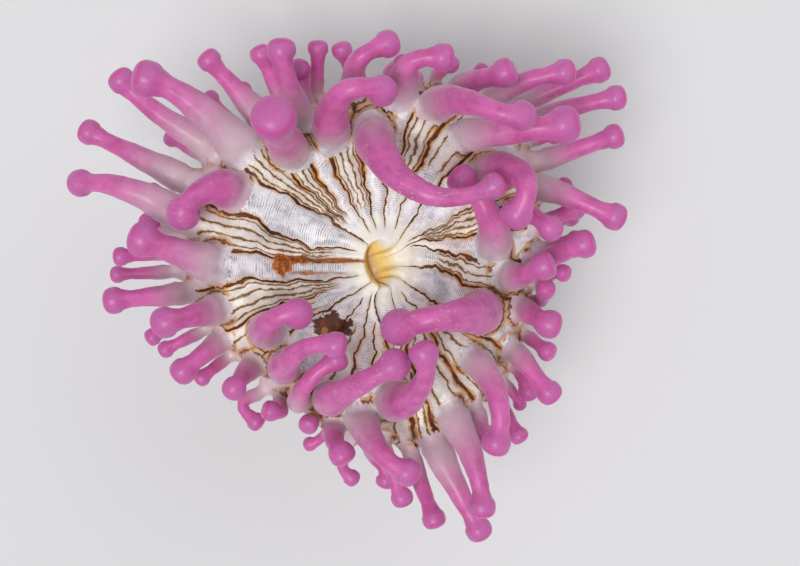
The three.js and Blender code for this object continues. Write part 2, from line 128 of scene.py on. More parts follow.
FURROWS = [
    {"at": (30.5, 17, 10.5), "begins": 0, "ink": (0.14, 0.22, 0.30), "gold": 0.6, "bands": (5, 0.25)},
    {"at": (35, 26.5, 26), "begins": 0.08, "ink": (0.14, 0.18, 0.30), "gold": 0.3},
    {"at": (51, 49, 45.5), "begins": 0, "ink": (0.22, 0.32, 0.36), "gold": 0.5, "bands": (3, 0.8)},
    {"at": (68, 65, 61), "begins": 0.08, "ink": (0.20, 0.30, 0.40), "gold": 0.8, "bands": (4, 0.45)},
    {"at": (79, 74, 72.5), "begins": 0.5, "ink": (0.14, 0.20, 0.30), "gold": 0.5},
    {"at": (88, 82, 83), "begins": 0.08, "ink": (0.18, 0.30, 0.36), "gold": 0.6},
    {"at": (106.5, 98, 95), "begins": 0.08, "ink": (0.20, 0.42, 0.48), "gold": 1.0, "bands": (5, 0.35)},
    {"at": (120, 115, 111.5), "begins": 0.08, "ink": (0.20, 0.32, 0.44), "gold": 1.0},
    {"at": (128, 127, 122.5), "begins": 0.4, "ink": (0.14, 0.26, 0.40), "gold": 0.9, "bands": (4, 0.35)},
    {"at": (135, 134.5, 133.5), "begins": 0.3, "ink": (0.14, 0.20, 0.36), "gold": 0.6, "bands": (4, 0.3)},
    {"at": (141.5, 142, 145.5), "begins": 0, "ink": (0.30, 0.46, 0.40), "gold": 0.3},
    {"at": (162, 170.5, 162), "begins": 0.08, "ink": (0.22, 0.34, 0.62), "gold": 0.4, "bands": (5, 0.25)},
    {"at": (178.5, 181, 178), "begins": 0, "ink": (0.40, 0.44, 0.40), "gold": 0.3},
    {"at": (204, 198, 191.5), "begins": 0.08, "ink": (0.24, 0.34, 0.36), "gold": 0.4, "bands": (5, 0.3)},
    {"at": (214, 211, 208), "begins": 0.45, "ink": (0.14, 0.20, 0.32), "gold": 0.3, "bands": (3, 0.6)},
    {"at": (226.5, 225.5, 223.5), "begins": 0, "ink": (0.26, 0.34, 0.36), "gold": 0.4},
    {"at": (238, 243, 247), "begins": 0.2, "ink": (0.18, 0.30, 0.34), "gold": 0.3, "bands": (2, 0.5)},
    {"at": (246, 260, 262), "begins": 0.1, "ink": (0.20, 0.28, 0.34), "gold": 0.4},
    {"at": (249, 268, 273), "begins": 0.4, "ink": (0.14, 0.20, 0.30), "gold": 0.4, "bands": (2, 0.7)},
    {"at": (252, 275, 284.5), "begins": 0, "ink": (0.26, 0.32, 0.36), "gold": 0.9, "bands": (3, 0.6)},
    {"at": (284.5, 292, 291), "begins": 0, "ink": (0.24, 0.30, 0.36), "gold": 0.7, "bands": (3, 0.4)},
    {"at": (304, 310, 306), "begins": 0.1, "ink": (0.22, 0.32, 0.40), "gold": 1.0, "bands": (4, 0.5)},
    {"at": (321, 324.5, 325), "begins": 0, "ink": (0.30, 0.34, 0.36), "gold": 1.0},
    {"at": (351.7, 353, 343), "begins": 0, "ink": (0.26, 0.50, 0.40), "gold": 0.9, "bands": (4, 0.45)},
    {"at": (386, 367, 357.5), "begins": 0.08, "ink": (0.16, 0.32, 0.62), "gold": 0.3},
]

WHOLE = (1, 1.0)  # the bands of a petal that is not parted
ACROSS_PETAL = 11  # columns of the skin's mesh across one petal
CROWDING = 0.45  # how much the columns crowd towards the furrows, so that these stay sharp
DISC_REACH = 24  # how far the margin is from the lips, in millimetres
WOBBLES = ((9.0, 0.40), (4.3, 0.24), (2.1, 0.13))  # wave length and height of a furrow's bends
FURROW_STOPS = (0.06, 0.45, 1.0)

chance = np.random.default_rng(7)
furrow_phases = chance.uniform(0, 2 * np.pi, (len(FURROWS), len(WOBBLES)))


def furrow_paths(share, reach):
    """The bearing of every furrow, in radians, at each share of the way to the margin.

    It runs straight between its three named bearings and sways by a sum of sine waves
    along its reach, which die out at the lips."""
    paths = []
    for furrow, phases in zip(FURROWS, furrow_phases):
        path = np.radians(np.interp(share, FURROW_STOPS, furrow["at"]))
        for (wave, height), phase in zip(WOBBLES, phases):
            sway = height * np.sin(2 * np.pi * reach / wave + phase)
            path = path + sway * smoothstep(0.05, 0.4, share) / (9 + reach)
        paths.append(path)
    return np.stack(paths, axis=-1)


def along_furrows(share, key):
    """A furrow's named number at each share of the way, for every furrow."""
    return np.stack([np.interp(share, FURROW_STOPS, furrow[key]) for furrow in FURROWS], axis=-1)


PETALS = len(FURROWS)
COLUMNS = PETALS * ACROSS_PETAL
steps_across = np.arange(COLUMNS + 1) / ACROSS_PETAL
petal_of_column = np.minimum(steps_across.astype(int), PETALS - 1)
straight_share = steps_across - petal_of_column
share_across = straight_share - CROWDING * np.sin(2 * np.pi * straight_share) / (2 * np.pi)


def spread_columns(paths):
    """The bearing of every mesh column in each row: evenly eased from furrow to furrow."""
    closed = np.concatenate([paths, paths[:, :1] + 2 * np.pi], axis=1)
    low = closed[:, petal_of_column]
    high = closed[:, petal_of_column + 1]
    return low + (high - low) * share_across, high - low


# ---------------------------------------------------------------------------------------
# The lips and throat: the petals end in soft pads, which slope into a shallow pit. Their
# folds run on from the furrows and meet along the closed slit of the mouth.

LIPS_MIDDLE = np.array([4.6, -1.6])
LIPS_HALF = np.array([6.1, 7.8])
LIPS_LEVEL = DISC_LEVEL - 1.2
PAD_RISE = 1.0
PIT_DEPTH = 3.0
LIP_FOLD_DEPTH = 1.5
PEARLS = ((4.4, 4.8), (5.7, -8.2))  # the two pads that bulge most
PEARL_RISE = 1.0
PEARL_SPREAD = 2.4
SLIT_MIDDLE = np.array([1.0, -2.3])
SLIT_BEARING = math.radians(-72.5)
SLIT_HALF = np.array([4.6, 0.12])
SLIT_BOW = -0.9
THROAT_DEPTH = 0.15

THROAT_ROWS = 5
LIP_ROWS = 15

begins = np.array([furrow["begins"] for furrow in FURROWS])
arch_across = np.sin(np.pi * share_across) ** 0.6


def lip_edge(bearing):
    """The oval outer edge of the lips."""
    return LIPS_MIDDLE + LIPS_HALF * heading(bearing)


def slit_edge(bearing, size=1.0):
    """A narrow oval, turned to the slit's own bearing and bowed along a parabola.

    Smaller ovals lie inside the full one, on the same parabola."""
    along = size * np.cos(bearing - SLIT_BEARING)
    aside = SLIT_HALF[1] * size * np.sin(bearing - SLIT_BEARING) + SLIT_BOW * (1 - along ** 2)
    along = along * SLIT_HALF[0]
    cos, sin = math.cos(SLIT_BEARING), math.sin(SLIT_BEARING)
    return SLIT_MIDDLE + np.stack([along * cos - aside * sin, along * sin + aside * cos], axis=-1)


def bernstein(t):
    """The four weights of a cubic curve's control points."""
    s = 1 - t
    return np.stack([s ** 3, 3 * s * s * t, 3 * s * t * t, t ** 3], axis=-1)


def pearl_bulge(flat):
    """Two round swellings, each a bell of the distance from its middle."""
    rise = 0
    for middle in PEARLS:
        away = np.linalg.norm(flat - np.array(middle), axis=-1)
        rise = rise + PEARL_RISE * np.exp(-(away / PEARL_SPREAD) ** 2)
    return rise


def nearest_furrow(values):
    """Picks, for each column, the value of the furrow that is nearer, from one column per furrow."""
    closed = np.concatenate([values, values[:, :1]], axis=1)
    low = closed[:, petal_of_column]
    high = closed[:, petal_of_column + 1]
    return np.where(share_across < 0.5, low, high)


lip_share = np.linspace(0, 1, LIP_ROWS, endpoint=False)[:, None]
first_paths = furrow_paths(np.zeros(1), np.zeros(1))
lip_bearing, lip_gap = spread_columns(first_paths)
lip_bearing = np.broadcast_to(lip_bearing, (LIP_ROWS, COLUMNS + 1))
# A fold leaves the slit straight, and bends until it meets its furrow in one line.
fold_start = slit_edge(lip_bearing[0])
fold_end = lip_edge(lip_bearing[0])
fold_span = fold_end - fold_start
fold_out = on_body(lip_bearing[0], MARGIN_EDGE, DISC_LEVEL)[..., :2] - fold_end
fold_out = fold_out / np.linalg.norm(fold_out, axis=-1, keepdims=True)
fold_back = fold_end - 0.45 * fold_out * np.linalg.norm(fold_span, axis=-1, keepdims=True)
fold_curve = np.stack([fold_start, fold_start + 0.3 * fold_span, fold_back, fold_end])
lip_flat = np.einsum("rk,kcx->rcx", bernstein(lip_share[:, 0]), fold_curve)
lip_strength = nearest_furrow((begins[None, :] == 0) * 1.0)
fold_sharpness = 2.0 - 1.4 * smoothstep(0.35, 1, lip_share)  # round ribs inside, sharp furrows outside
lip_fold = lip_strength * (1 - np.sin(np.pi * share_across) ** fold_sharpness)
lip_width = lip_gap * np.linalg.norm(lip_flat - SLIT_MIDDLE, axis=-1)
fold_depth = LIP_FOLD_DEPTH * smoothstep(0, 0.4, lip_share) * (1 - 0.5 * smoothstep(0.6, 1, lip_share))
fold_depth = fold_depth * np.clip(lip_width / 2.5, 0, 1)
lip_height = LIPS_LEVEL + PAD_RISE * smoothstep(0.2, 0.8, lip_share) + pearl_bulge(lip_flat)
lip_height = lip_height - PIT_DEPTH * (1 - smoothstep(0, 0.8, lip_share)) - fold_depth * lip_fold
lips = np.concatenate([lip_flat, lip_height[..., None]], axis=-1)

throat_share = np.linspace(1, 0, THROAT_ROWS, endpoint=False)[:, None]
throat_flat = slit_edge(lip_bearing[:1], 1 - 0.85 * throat_share)
throat_height = lip_height[:1] - THROAT_DEPTH * throat_share
throat = np.concatenate([throat_flat, throat_height[..., None]], axis=-1)


# ---------------------------------------------------------------------------------------
# The disc: a thin, taut sheet of pale flesh. Each petal is a puffed strip between two
# furrows, and the sheet is slightly dished between the lips and the margin.

DISC_ROWS = 40
DISC_SAG = 1.2
PUFF_PER_WIDTH = 0.26
PUFF_LIMIT = 1.9
PUFF_RAISE = 0.6  # how far the crests stand over the level of the sheet

disc_share = np.linspace(0, 1, DISC_ROWS, endpoint=False)[:, None]
disc_paths = furrow_paths(disc_share[:, 0], DISC_REACH * disc_share[:, 0])
disc_bearing, disc_gap = spread_columns(disc_paths)


def petal_puff(width, strength):
    """How far the skin is puffed up: a steep-sided arch across each petal.

    Where a furrow has not begun, the arch is filled in towards its crest."""
    height = np.clip(PUFF_PER_WIDTH * width, 0, PUFF_LIMIT)
    return height * (strength * (arch_across - 1))


disc_strength = smoothstep(begins - 0.06, begins + 0.06, disc_share)
disc_rim = on_body(disc_bearing, MARGIN_EDGE, np.array(DISC_LEVEL))[..., :2]
disc_start = lip_edge(disc_bearing)
disc_flat = disc_start + (disc_rim - disc_start) * disc_share[..., None]
disc_reach = np.linalg.norm(disc_flat - disc_start, axis=-1)
disc_width = disc_gap * np.linalg.norm(disc_flat - LIPS_MIDDLE, axis=-1)
disc_dish = DISC_SAG * (1 - smoothstep(0.45, 1.0, disc_share))
disc_puff = petal_puff(disc_width, nearest_furrow(disc_strength))
disc_pad = PAD_RISE * (1 - smoothstep(0, 0.16, disc_share))
disc_height = DISC_LEVEL - disc_dish + disc_pad + disc_puff + PUFF_RAISE * smoothstep(0, 0.2, disc_share)
disc_height = disc_height + pearl_bulge(disc_flat)
disc = np.concatenate([disc_flat, disc_height[..., None]], axis=-1)


# ---------------------------------------------------------------------------------------
# The margin: the disc's rounded shoulder, on which the tentacles stand in four cycles. Its
# petals run on between their roots and flatten out below them.

MARGIN_ROWS = 34
MARGIN_TILT = math.radians(96)

margin_tilt = np.linspace(0, MARGIN_TILT, MARGIN_ROWS, endpoint=False)[:, None]
margin_reach = MARGIN_ROLL * margin_tilt
margin_paths = furrow_paths(np.ones(MARGIN_ROWS), DISC_REACH + margin_reach[:, 0])
margin_bearing, margin_gap = spread_columns(margin_paths)
even_bearing = margin_bearing[:1, :1] + 2 * np.pi * steps_across / PETALS
margin_swell = 1 - smoothstep(0.9, 1.6, margin_tilt)
margin_width = margin_gap * (MARGIN_EDGE + MARGIN_ROLL * np.sin(margin_tilt))
margin_puff = petal_puff(margin_width, np.ones_like(margin_gap))
margin_puff = (margin_puff + PUFF_RAISE) * margin_swell - 0.3 * (1 - margin_swell)
margin_radius = MARGIN_EDGE + (MARGIN_ROLL + margin_puff) * np.sin(margin_tilt)
margin_height = MARGIN_CENTRE + (MARGIN_ROLL + margin_puff) * np.cos(margin_tilt)
margin = on_body(margin_bearing, margin_radius, margin_height)


# ---------------------------------------------------------------------------------------
# The column and foot: a bare, pale upper column under the crown, a long lower column in a
# thin wrinkled brown rind, and a spreading foot that is flat where it rests.

COLUMN_OUTLINE = np.array([
    (47.5, 46.6), (44.0, 44.6), (39.0, 41.0), (34.2, 36.0), (31.8, 31.5), (30.9, 27.0),
    (30.2, 21.0), (30.6, 15.0), (31.6, 10.5), (33.4, 7.4), (36.0, 4.6), (37.3, 2.4),
    (36.9, 0.8), (35.6, 0.0),
])
FOOT_SCALLOP = 0.5  # how unevenly the foot spreads
COLUMN_ROWS = 48
FOOT_ROWS = 5

outline_length = np.append(0, np.cumsum(np.linalg.norm(np.diff(COLUMN_OUTLINE, axis=0), axis=1)))
column_length = np.linspace(0, outline_length[-1], COLUMN_ROWS)[:, None]


def smooth_outline(length):
    """Radius and height along the outline, rounded by averaging it over a short window."""
    window = np.linspace(-1.6, 1.6, 9)
    spots = np.clip(length + window, 0, outline_length[-1])
    radius = np.interp(spots, outline_length, COLUMN_OUTLINE[:, 0]).mean(axis=-1, keepdims=True)
    height = np.interp(spots, outline_length, COLUMN_OUTLINE[:, 1]).mean(axis=-1, keepdims=True)
    return radius, height


column_radius, column_height = smooth_outline(column_length)
column_height = column_height - column_height[-1]
column_ease = smoothstep(0, 18, column_length)
column_bearing = margin_bearing[-1:] * (1 - column_ease) + even_bearing * column_ease


def muscle_ridges(bearing, height):
    """Soft upright ribs of muscle, and rings of wrinkles that wander round the column."""
    ribs = 0.30 * np.cos(48 * bearing + 1.5 * np.sin(3 * bearing)) * smoothstep(44, 36, height)
    wander = 1.2 * np.sin(5 * bearing) + 0.8 * np.sin(11 * bearing + 2)
    rings = 0.34 * np.sin(2 * np.pi * (height + wander) / 3.4)
    rings = rings + 0.2 * np.sin(2 * np.pi * height / 1.9 + 4 * bearing)
    rind = smoothstep(33, 29, height) * smoothstep(3, 8, height)
    return ribs * (1 - 0.5 * rind) + rings * rind


column_swell = muscle_ridges(column_bearing, column_height) * smoothstep(0.0, 1.5, column_height)
foot_scallop = FOOT_SCALLOP * (np.cos(7 * column_bearing + 1) + np.cos(4 * column_bearing + 2.4) - 2)
column_swell = column_swell + foot_scallop * smoothstep(16, 0, column_height)
column = on_body(column_bearing, column_radius + column_swell, column_height)

foot_share = np.linspace(1, 0, FOOT_ROWS + 1)[1:-1, None]
foot_radius = (column_radius[-1] + column_swell[-1:]) * foot_share
foot_bearing = np.broadcast_to(even_bearing, (len(foot_share), COLUMNS + 1))
underside = on_body(foot_bearing, foot_radius, np.zeros((len(foot_share), 1)))

body = np.concatenate([throat, lips, disc, margin, column, underside], axis=0)


# ---------------------------------------------------------------------------------------
# The tentacles: hollow fingers of muscle, each swollen above its root, drawn in to a neck
# and ending in a ball. They stand in four cycles, the biggest nearest to the mouth. The
# rows give the bearing of the root, the knob's bearing, reach and height over the disc, the
# radii of shaft and knob, how far the middle is arched up and swept to the left, and how
# far up from its root the flesh stays pale.

CYCLES = {
    "first": {"tilt": 17, "arch": 6, "girth": 5.2, "knob": 4.0, "around": 24, "rows": 30},
    "second": {"tilt": 32, "arch": 5, "girth": 4.7, "knob": 3.9, "around": 24, "rows": 28},
    "third": {"tilt": 52, "arch": 3, "girth": 3.2, "knob": 3.1, "around": 20, "rows": 18},
    "outer": {"tilt": 77, "arch": 2, "girth": 2.2, "knob": 2.4, "around": 16, "rows": 12},
}

ROOTED = {
    "first": [
        {"root": 3, "tip": [36, 36.5, 12], "girth": 5.0, "arch": 5, "sweep": -1, "pale": 0.3},
        {"root": 35, "tip": [15, 39, 24], "girth": 5.8, "knob": 4.1, "arch": 12, "sweep": 6, "pale": 0.18},
        {"root": 54, "tip": [33, 60, 20], "girth": 4.6, "knob": 4.9, "sweep": -2, "pale": 0.45},
        {"root": 88, "tip": [28, 36.5, 27], "glint_amount": 1, "girth": 5.6, "knob": 3.3, "arch": 12,
         "sweep": -14, "pale": 0.14},
        {"root": 107, "tip": [84.5, 41.5, 22], "girth": 5.3, "arch": 13, "sweep": 5.5, "pale": 0.16},
        {"root": 127, "tip": [124, 39, 42], "girth": 5.5, "knob": 5.6, "arch": 3, "pale": 0.3},
        {"root": 154, "tip": [167, 49, 12], "girth": 5.8, "knob": 4.4, "arch": 6, "sweep": -5,
         "pale": 0.22, "glint_amount": 0.4},
        {"root": 184, "tip": [176, 58, 14], "girth": 5.7, "knob": 4.6, "arch": 4, "pale": 0.55},
        {"root": 217, "tip": [221, 22.6, 26], "girth": 5.2, "arch": 12, "sweep": 2.5, "pale": 0.4},
        {"root": 279, "tip": [300, 28, 34], "girth": 5.7, "knob": 3.7, "arch": 9, "sweep": -4, "pale": 0.18},
        {"root": 315, "tip": [304.5, 58.5, 16], "girth": 4.2, "knob": 3.8, "arch": 6.5, "sweep": 4.5},
        {"root": 334, "tip": [294.5, 20, 26], "girth": 6.2, "knob": 4.7, "arch": 17, "sweep": -1.5,
         "pale": 0.1, "glint_amount": 0.6},
    ],
    "second": [
        {"root": 18, "tip": [8, 47.5, 18], "girth": 3.4, "knob": 3.3, "arch": 7},
        {"root": 67, "tip": [41.5, 52, 26], "girth": 5.0, "arch": 13, "sweep": -2, "pale": 0.3},
        {"root": 78, "tip": [68, 54.5, 14], "girth": 4.9, "knob": 3.7, "arch": 5.5, "sweep": 1},
        {"root": 116, "tip": [112.5, 57.5, 12], "girth": 3.9, "knob": 3.8, "arch": 3},
        {"root": 140, "tip": [141.5, 72.5, 14], "girth": 6.0, "knob": 4.9, "arch": 3.5, "pale": 0.55},
        {"root": 169, "tip": [166, 79, 0], "girth": 5.1, "knob": 3.7, "arch": 3},
        {"root": 199, "tip": [198.5, 54.5, 16], "girth": 4.6, "knob": 4.1, "arch": 6.5},
        {"root": 232.5, "tip": [254, 24, 30], "girth": 4.5, "knob": 3.4, "arch": 9.5, "pale": 0.25},
        {"root": 255.5, "tip": [285, 28.5, 30], "girth": 4.8, "knob": 4.1, "arch": 11.5,
         "sweep": 5, "pale": 0.15, "glint_amount": 0.6},
        {"root": 266.5, "tip": [281, 56.5, 16], "girth": 4.9, "knob": 3.7, "arch": 6.5, "sweep": 1.5},
        {"root": 297, "tip": [294.5, 72, 10], "girth": 4.7, "knob": 3.6, "arch": 3.5, "sweep": 2.5},
        {"root": 351, "tip": [356.5, 45.5, 16], "girth": 4.4, "knob": 3.7, "arch": 4.5},
    ],
    "third": [
        {"root": 357, "tip": [3, 57, 6], "girth": 3.5, "knob": 3.8},
        {"root": 9.4, "tip": [13, 57, -5]},
        {"root": 25, "tip": [9, 66, 4], "girth": 4.0, "knob": 3.7, "arch": 4},
        {"root": 42, "tip": [32.5, 78, 2], "girth": 3.6, "knob": 3.4, "sweep": 1},
        {"root": 53, "tip": [43, 71, 4], "girth": 3.5, "knob": 3.6, "arch": 4, "sweep": 1.5},
        {"root": 62.5, "tip": [53, 59.5, 10], "girth": 3.9, "knob": 3.9, "arch": 3.5},
        {"root": 75, "tip": [72, 51, -10]},
        {"root": 87.5, "tip": [88, 48, -12]},
        {"root": 95.5, "tip": [84, 55.5, 8], "girth": 3.9, "knob": 3.7, "arch": 4, "sweep": -1},
        {"root": 114, "tip": [110, 53, -3]},
        {"root": 128, "tip": [129, 66.5, 4], "girth": 4.3, "knob": 3.2, "arch": 2},
        {"root": 145, "tip": [144.5, 81, -2], "girth": 3.8, "knob": 3.7, "arch": 1.5, "sweep": 2},
        {"root": 158, "tip": [156, 83, -8], "girth": 4.4, "knob": 3.5, "arch": 1},
        {"root": 172, "tip": [171, 60, -9]},
        {"root": 191, "tip": [190, 68, 4], "girth": 3.5, "knob": 3.6},
        {"root": 209, "tip": [212, 57.5, 4], "girth": 3.7, "knob": 3.6, "arch": 4},
        {"root": 223, "tip": [225, 49, 10], "girth": 3.8, "knob": 3.2, "arch": 6},
        {"root": 245, "tip": [257, 28, 15], "girth": 3.3, "knob": 3.2, "arch": 7},
        {"root": 259, "tip": [264, 51, 8], "girth": 3.5, "knob": 3.5, "arch": 4, "sweep": -1},
        {"root": 274, "tip": [278, 65, 0], "girth": 2.8, "knob": 3.0},
        {"root": 289, "tip": [292, 79, -2], "girth": 4.4, "knob": 3.6},
        {"root": 305, "tip": [303, 58, -9]},
        {"root": 327, "tip": [323, 60, 4], "girth": 3.5, "knob": 3.4, "arch": 4},
        {"root": 341, "tip": [339.5, 51, 8], "girth": 3.8, "knob": 3.8, "arch": 4},
    ],
    "outer": [
        {"root": 350, "tip": [354.5, 51, -1]},
        {"root": 3, "tip": [5, 57, -14]},
        {"root": 10.5, "tip": [11, 57, -18]},
        {"root": 19.2, "tip": [20, 57, -12]},
        {"root": 30, "tip": [26, 73.5, -4], "girth": 3.3, "knob": 3.4},
        {"root": 36.5, "tip": [33, 61, -14]},
        {"root": 47, "tip": [39, 80.5, -8], "girth": 3.2, "knob": 3.6},
        {"root": 60, "tip": [58.5, 59, -8]},
        {"root": 70, "tip": [66, 55, -1]},
        {"root": 84, "tip": [80, 52, 0]},
        {"root": 93, "tip": [97.5, 56, -4], "knob": 2.8},
        {"root": 108.3, "tip": [103.5, 57.5, -4], "knob": 2.8},
        {"root": 119.5, "tip": [118, 62, -6], "girth": 2.9, "knob": 3.0},
        {"root": 128, "tip": [127, 58, -17]},
        {"root": 136.5, "tip": [135, 62, -16]},
        {"root": 149, "tip": [149, 64, -18]},
        {"root": 164, "tip": [163, 63, -19]},
        {"root": 178.5, "tip": [180, 67, -6], "knob": 2.6},
        {"root": 184, "tip": [184, 69, -12]},
        {"root": 197.5, "tip": [200.5, 62, -4]},
        {"root": 203.5, "tip": [204.5, 61, -11]},
        {"root": 215, "tip": [216, 56, -8]},
        {"root": 232.5, "tip": [237, 54, -10], "knob": 2.6},
        {"root": 238, "tip": [240, 46, 2], "girth": 2.5, "knob": 2.8},
        {"root": 251, "tip": [252, 47, -1], "girth": 2.5, "knob": 2.7},
        {"root": 257.3, "tip": [251.5, 52, -12], "girth": 1.9, "knob": 2.0},
        {"root": 264.5, "tip": [269, 58, -13]},
        {"root": 270, "tip": [274, 61, -8], "girth": 2.8, "knob": 2.7},
        {"root": 282, "tip": [284, 73, -5], "girth": 2.8, "knob": 3.2},
        {"root": 289.5, "tip": [290, 62, -16]},
        {"root": 296.5, "tip": [298, 61, -15]},
        {"root": 312, "tip": [310, 63, -4], "knob": 2.6},
        {"root": 317.5, "tip": [315.5, 58, -14], "girth": 1.9, "knob": 1.9},
        {"root": 323.5, "tip": [319.5, 57, -9], "girth": 2.6, "knob": 2.9},
        {"root": 333, "tip": [332, 54.5, -3], "knob": 2.7},
        {"root": 344, "tip": [347.5, 47, 0], "knob": 2.7},
    ],
}

POSES = [{"cycle": cycle, **row} for cycle, rows in ROOTED.items() for row in rows]

# How a tentacle is laid out: a cubic curve from the root on the margin to the middle of the
# knob, with neighbours pushed apart where they would touch.

PALE = {"first": 0.42, "second": 0.48, "third": 0.45, "outer": 0.38}
BALLS = 14
PASSES = 400
CLEARANCE = 0.9
PUSHED = (2, 3)  # the two outer control points, which give way


def rooted(pose):
    """The root on the margin and the way the skin faces there, from bearing and tilt."""
    bearing = math.radians(pose["root"])
    tilt = math.radians(CYCLES[pose["cycle"]]["tilt"])
    swell = 3 * (bearing - LOBE_BEARING)
    turn = math.atan(3 * LOBE_DEPTH * math.sin(swell) / (1 + LOBE_DEPTH * math.cos(swell)))
    height = MARGIN_CENTRE + MARGIN_ROLL * math.cos(tilt)
    radius = (MARGIN_EDGE + MARGIN_ROLL * math.sin(tilt)) * lobe(bearing, height)
    point = np.array([radius * math.cos(bearing), radius * math.sin(bearing), height])
    out = bearing + turn
    facing = [math.sin(tilt) * math.cos(out), math.sin(tilt) * math.sin(out), math.cos(tilt)]
    return point, np.array(facing)


def unit(vectors):
    """Vectors of length one in the same directions."""
    return vectors / np.linalg.norm(vectors, axis=-1, keepdims=True)


def control_points(pose):
    """The parabola through the arched and swept middle, with its start turned to the facing."""
    point, facing = rooted(pose)
    bearing, reach, height = pose["tip"]
    bearing = math.radians(bearing)
    knob = np.array([reach * math.cos(bearing), reach * math.sin(bearing), DISC_LEVEL + height])
    chord = knob - point
    left = unit(np.array([-chord[1], chord[0], 0.0]))
    peak = (point + knob) / 2 + 2 * pose.get("sweep", 0) * left
    peak[2] += 2 * pose.get("arch", CYCLES[pose["cycle"]]["arch"])
    rise = peak - point
    leaving = unit(0.55 * unit(rise) + 0.45 * facing)
    start = point + leaving * np.linalg.norm(rise) * 2 / 3
    return np.array([point, start, peak + (knob - peak) / 3, knob])


def curve_length(points):
    """The length of a cubic curve, added up over many short chords."""
    spots = bernstein(np.linspace(0, 1, 201)) @ points
    return np.linalg.norm(np.diff(spots, axis=0), axis=1).sum()


NECK = 0.6  # of the knob's radius


def shaft_radius(share, girth, knob):
    """The shaft: narrow at the root, fullest a fifth of the way up, drawn in to the neck."""
    swelling = girth * (0.8 + 0.2 * smoothstep(0, 0.2, share))
    fade = smoothstep(0.1, 1, share) ** 0.8
    return swelling + (NECK * knob - swelling) * fade


def spread_apart(curves, radii, reaches):
    """Leans crowded neighbours apart.

    Each pass measures balls strung along every tentacle, and pushes the outer control
    points of any two that come too close along the line between the balls."""
    weights = bernstein(np.linspace(0, 1, BALLS))
    one, other = np.triu_indices(len(curves), 1)
    apart = np.linalg.norm(curves[one, 0] - curves[other, 0], axis=1)
    near = apart <= reaches[one] + reaches[other]
    one, other = one[near], other[near]
    beyond_roots = np.add.outer(np.arange(BALLS), np.arange(BALLS)) > 1
    for _ in range(PASSES):
        strings = np.einsum("bk,nkx->nbx", weights, curves)
        away = strings[one][:, :, None] - strings[other][:, None]
        distance = np.linalg.norm(away, axis=-1)
        space = distance - radii[one][:, :, None] - radii[other][:, None] - CLEARANCE
        pair, a, b = np.nonzero((space < 0) & beyond_roots)
        if len(pair) == 0:
            break
        push = away[pair, a, b] * (-0.25 * space[pair, a, b] / distance[pair, a, b])[:, None]
        for k in PUSHED:
            np.add.at(curves[:, k], one[pair], push * weights[a, k, None])
            np.add.at(curves[:, k], other[pair], -push * weights[b, k, None])


curves = np.array([control_points(pose) for pose in POSES])
girths = np.array([pose.get("girth", CYCLES[pose["cycle"]]["girth"]) for pose in POSES])
knobs = np.array([pose.get("knob", CYCLES[pose["cycle"]]["knob"]) for pose in POSES])
lengths = np.array([curve_length(points) for points in curves])
ball_shares = np.linspace(0, 1, BALLS)
beyond = (1 - ball_shares) * lengths[:, None]
ball_radii = np.sqrt(np.clip(knobs[:, None] ** 2 - beyond ** 2, 0, None))
shafts = shaft_radius(ball_shares, girths[:, None], knobs[:, None]) * (beyond > 0)
spread_apart(curves, np.maximum(shafts, ball_radii), lengths + knobs)


# The skin of a tentacle: rings carried along its curve, flaring where it grows out of the
# margin, with slack wrinkles and a shallow waist under the knob.

ROOT_DEPTH = 2.6
FLARE = 0.18
FLARE_LENGTH = 1.5  # both in girths
KNOB_ROWS = 9
KNOB_FLAT = 0.8  # the knob is shorter than it is wide,
KNOB_ROUND = 2.6  # and its end flatter than a ball's


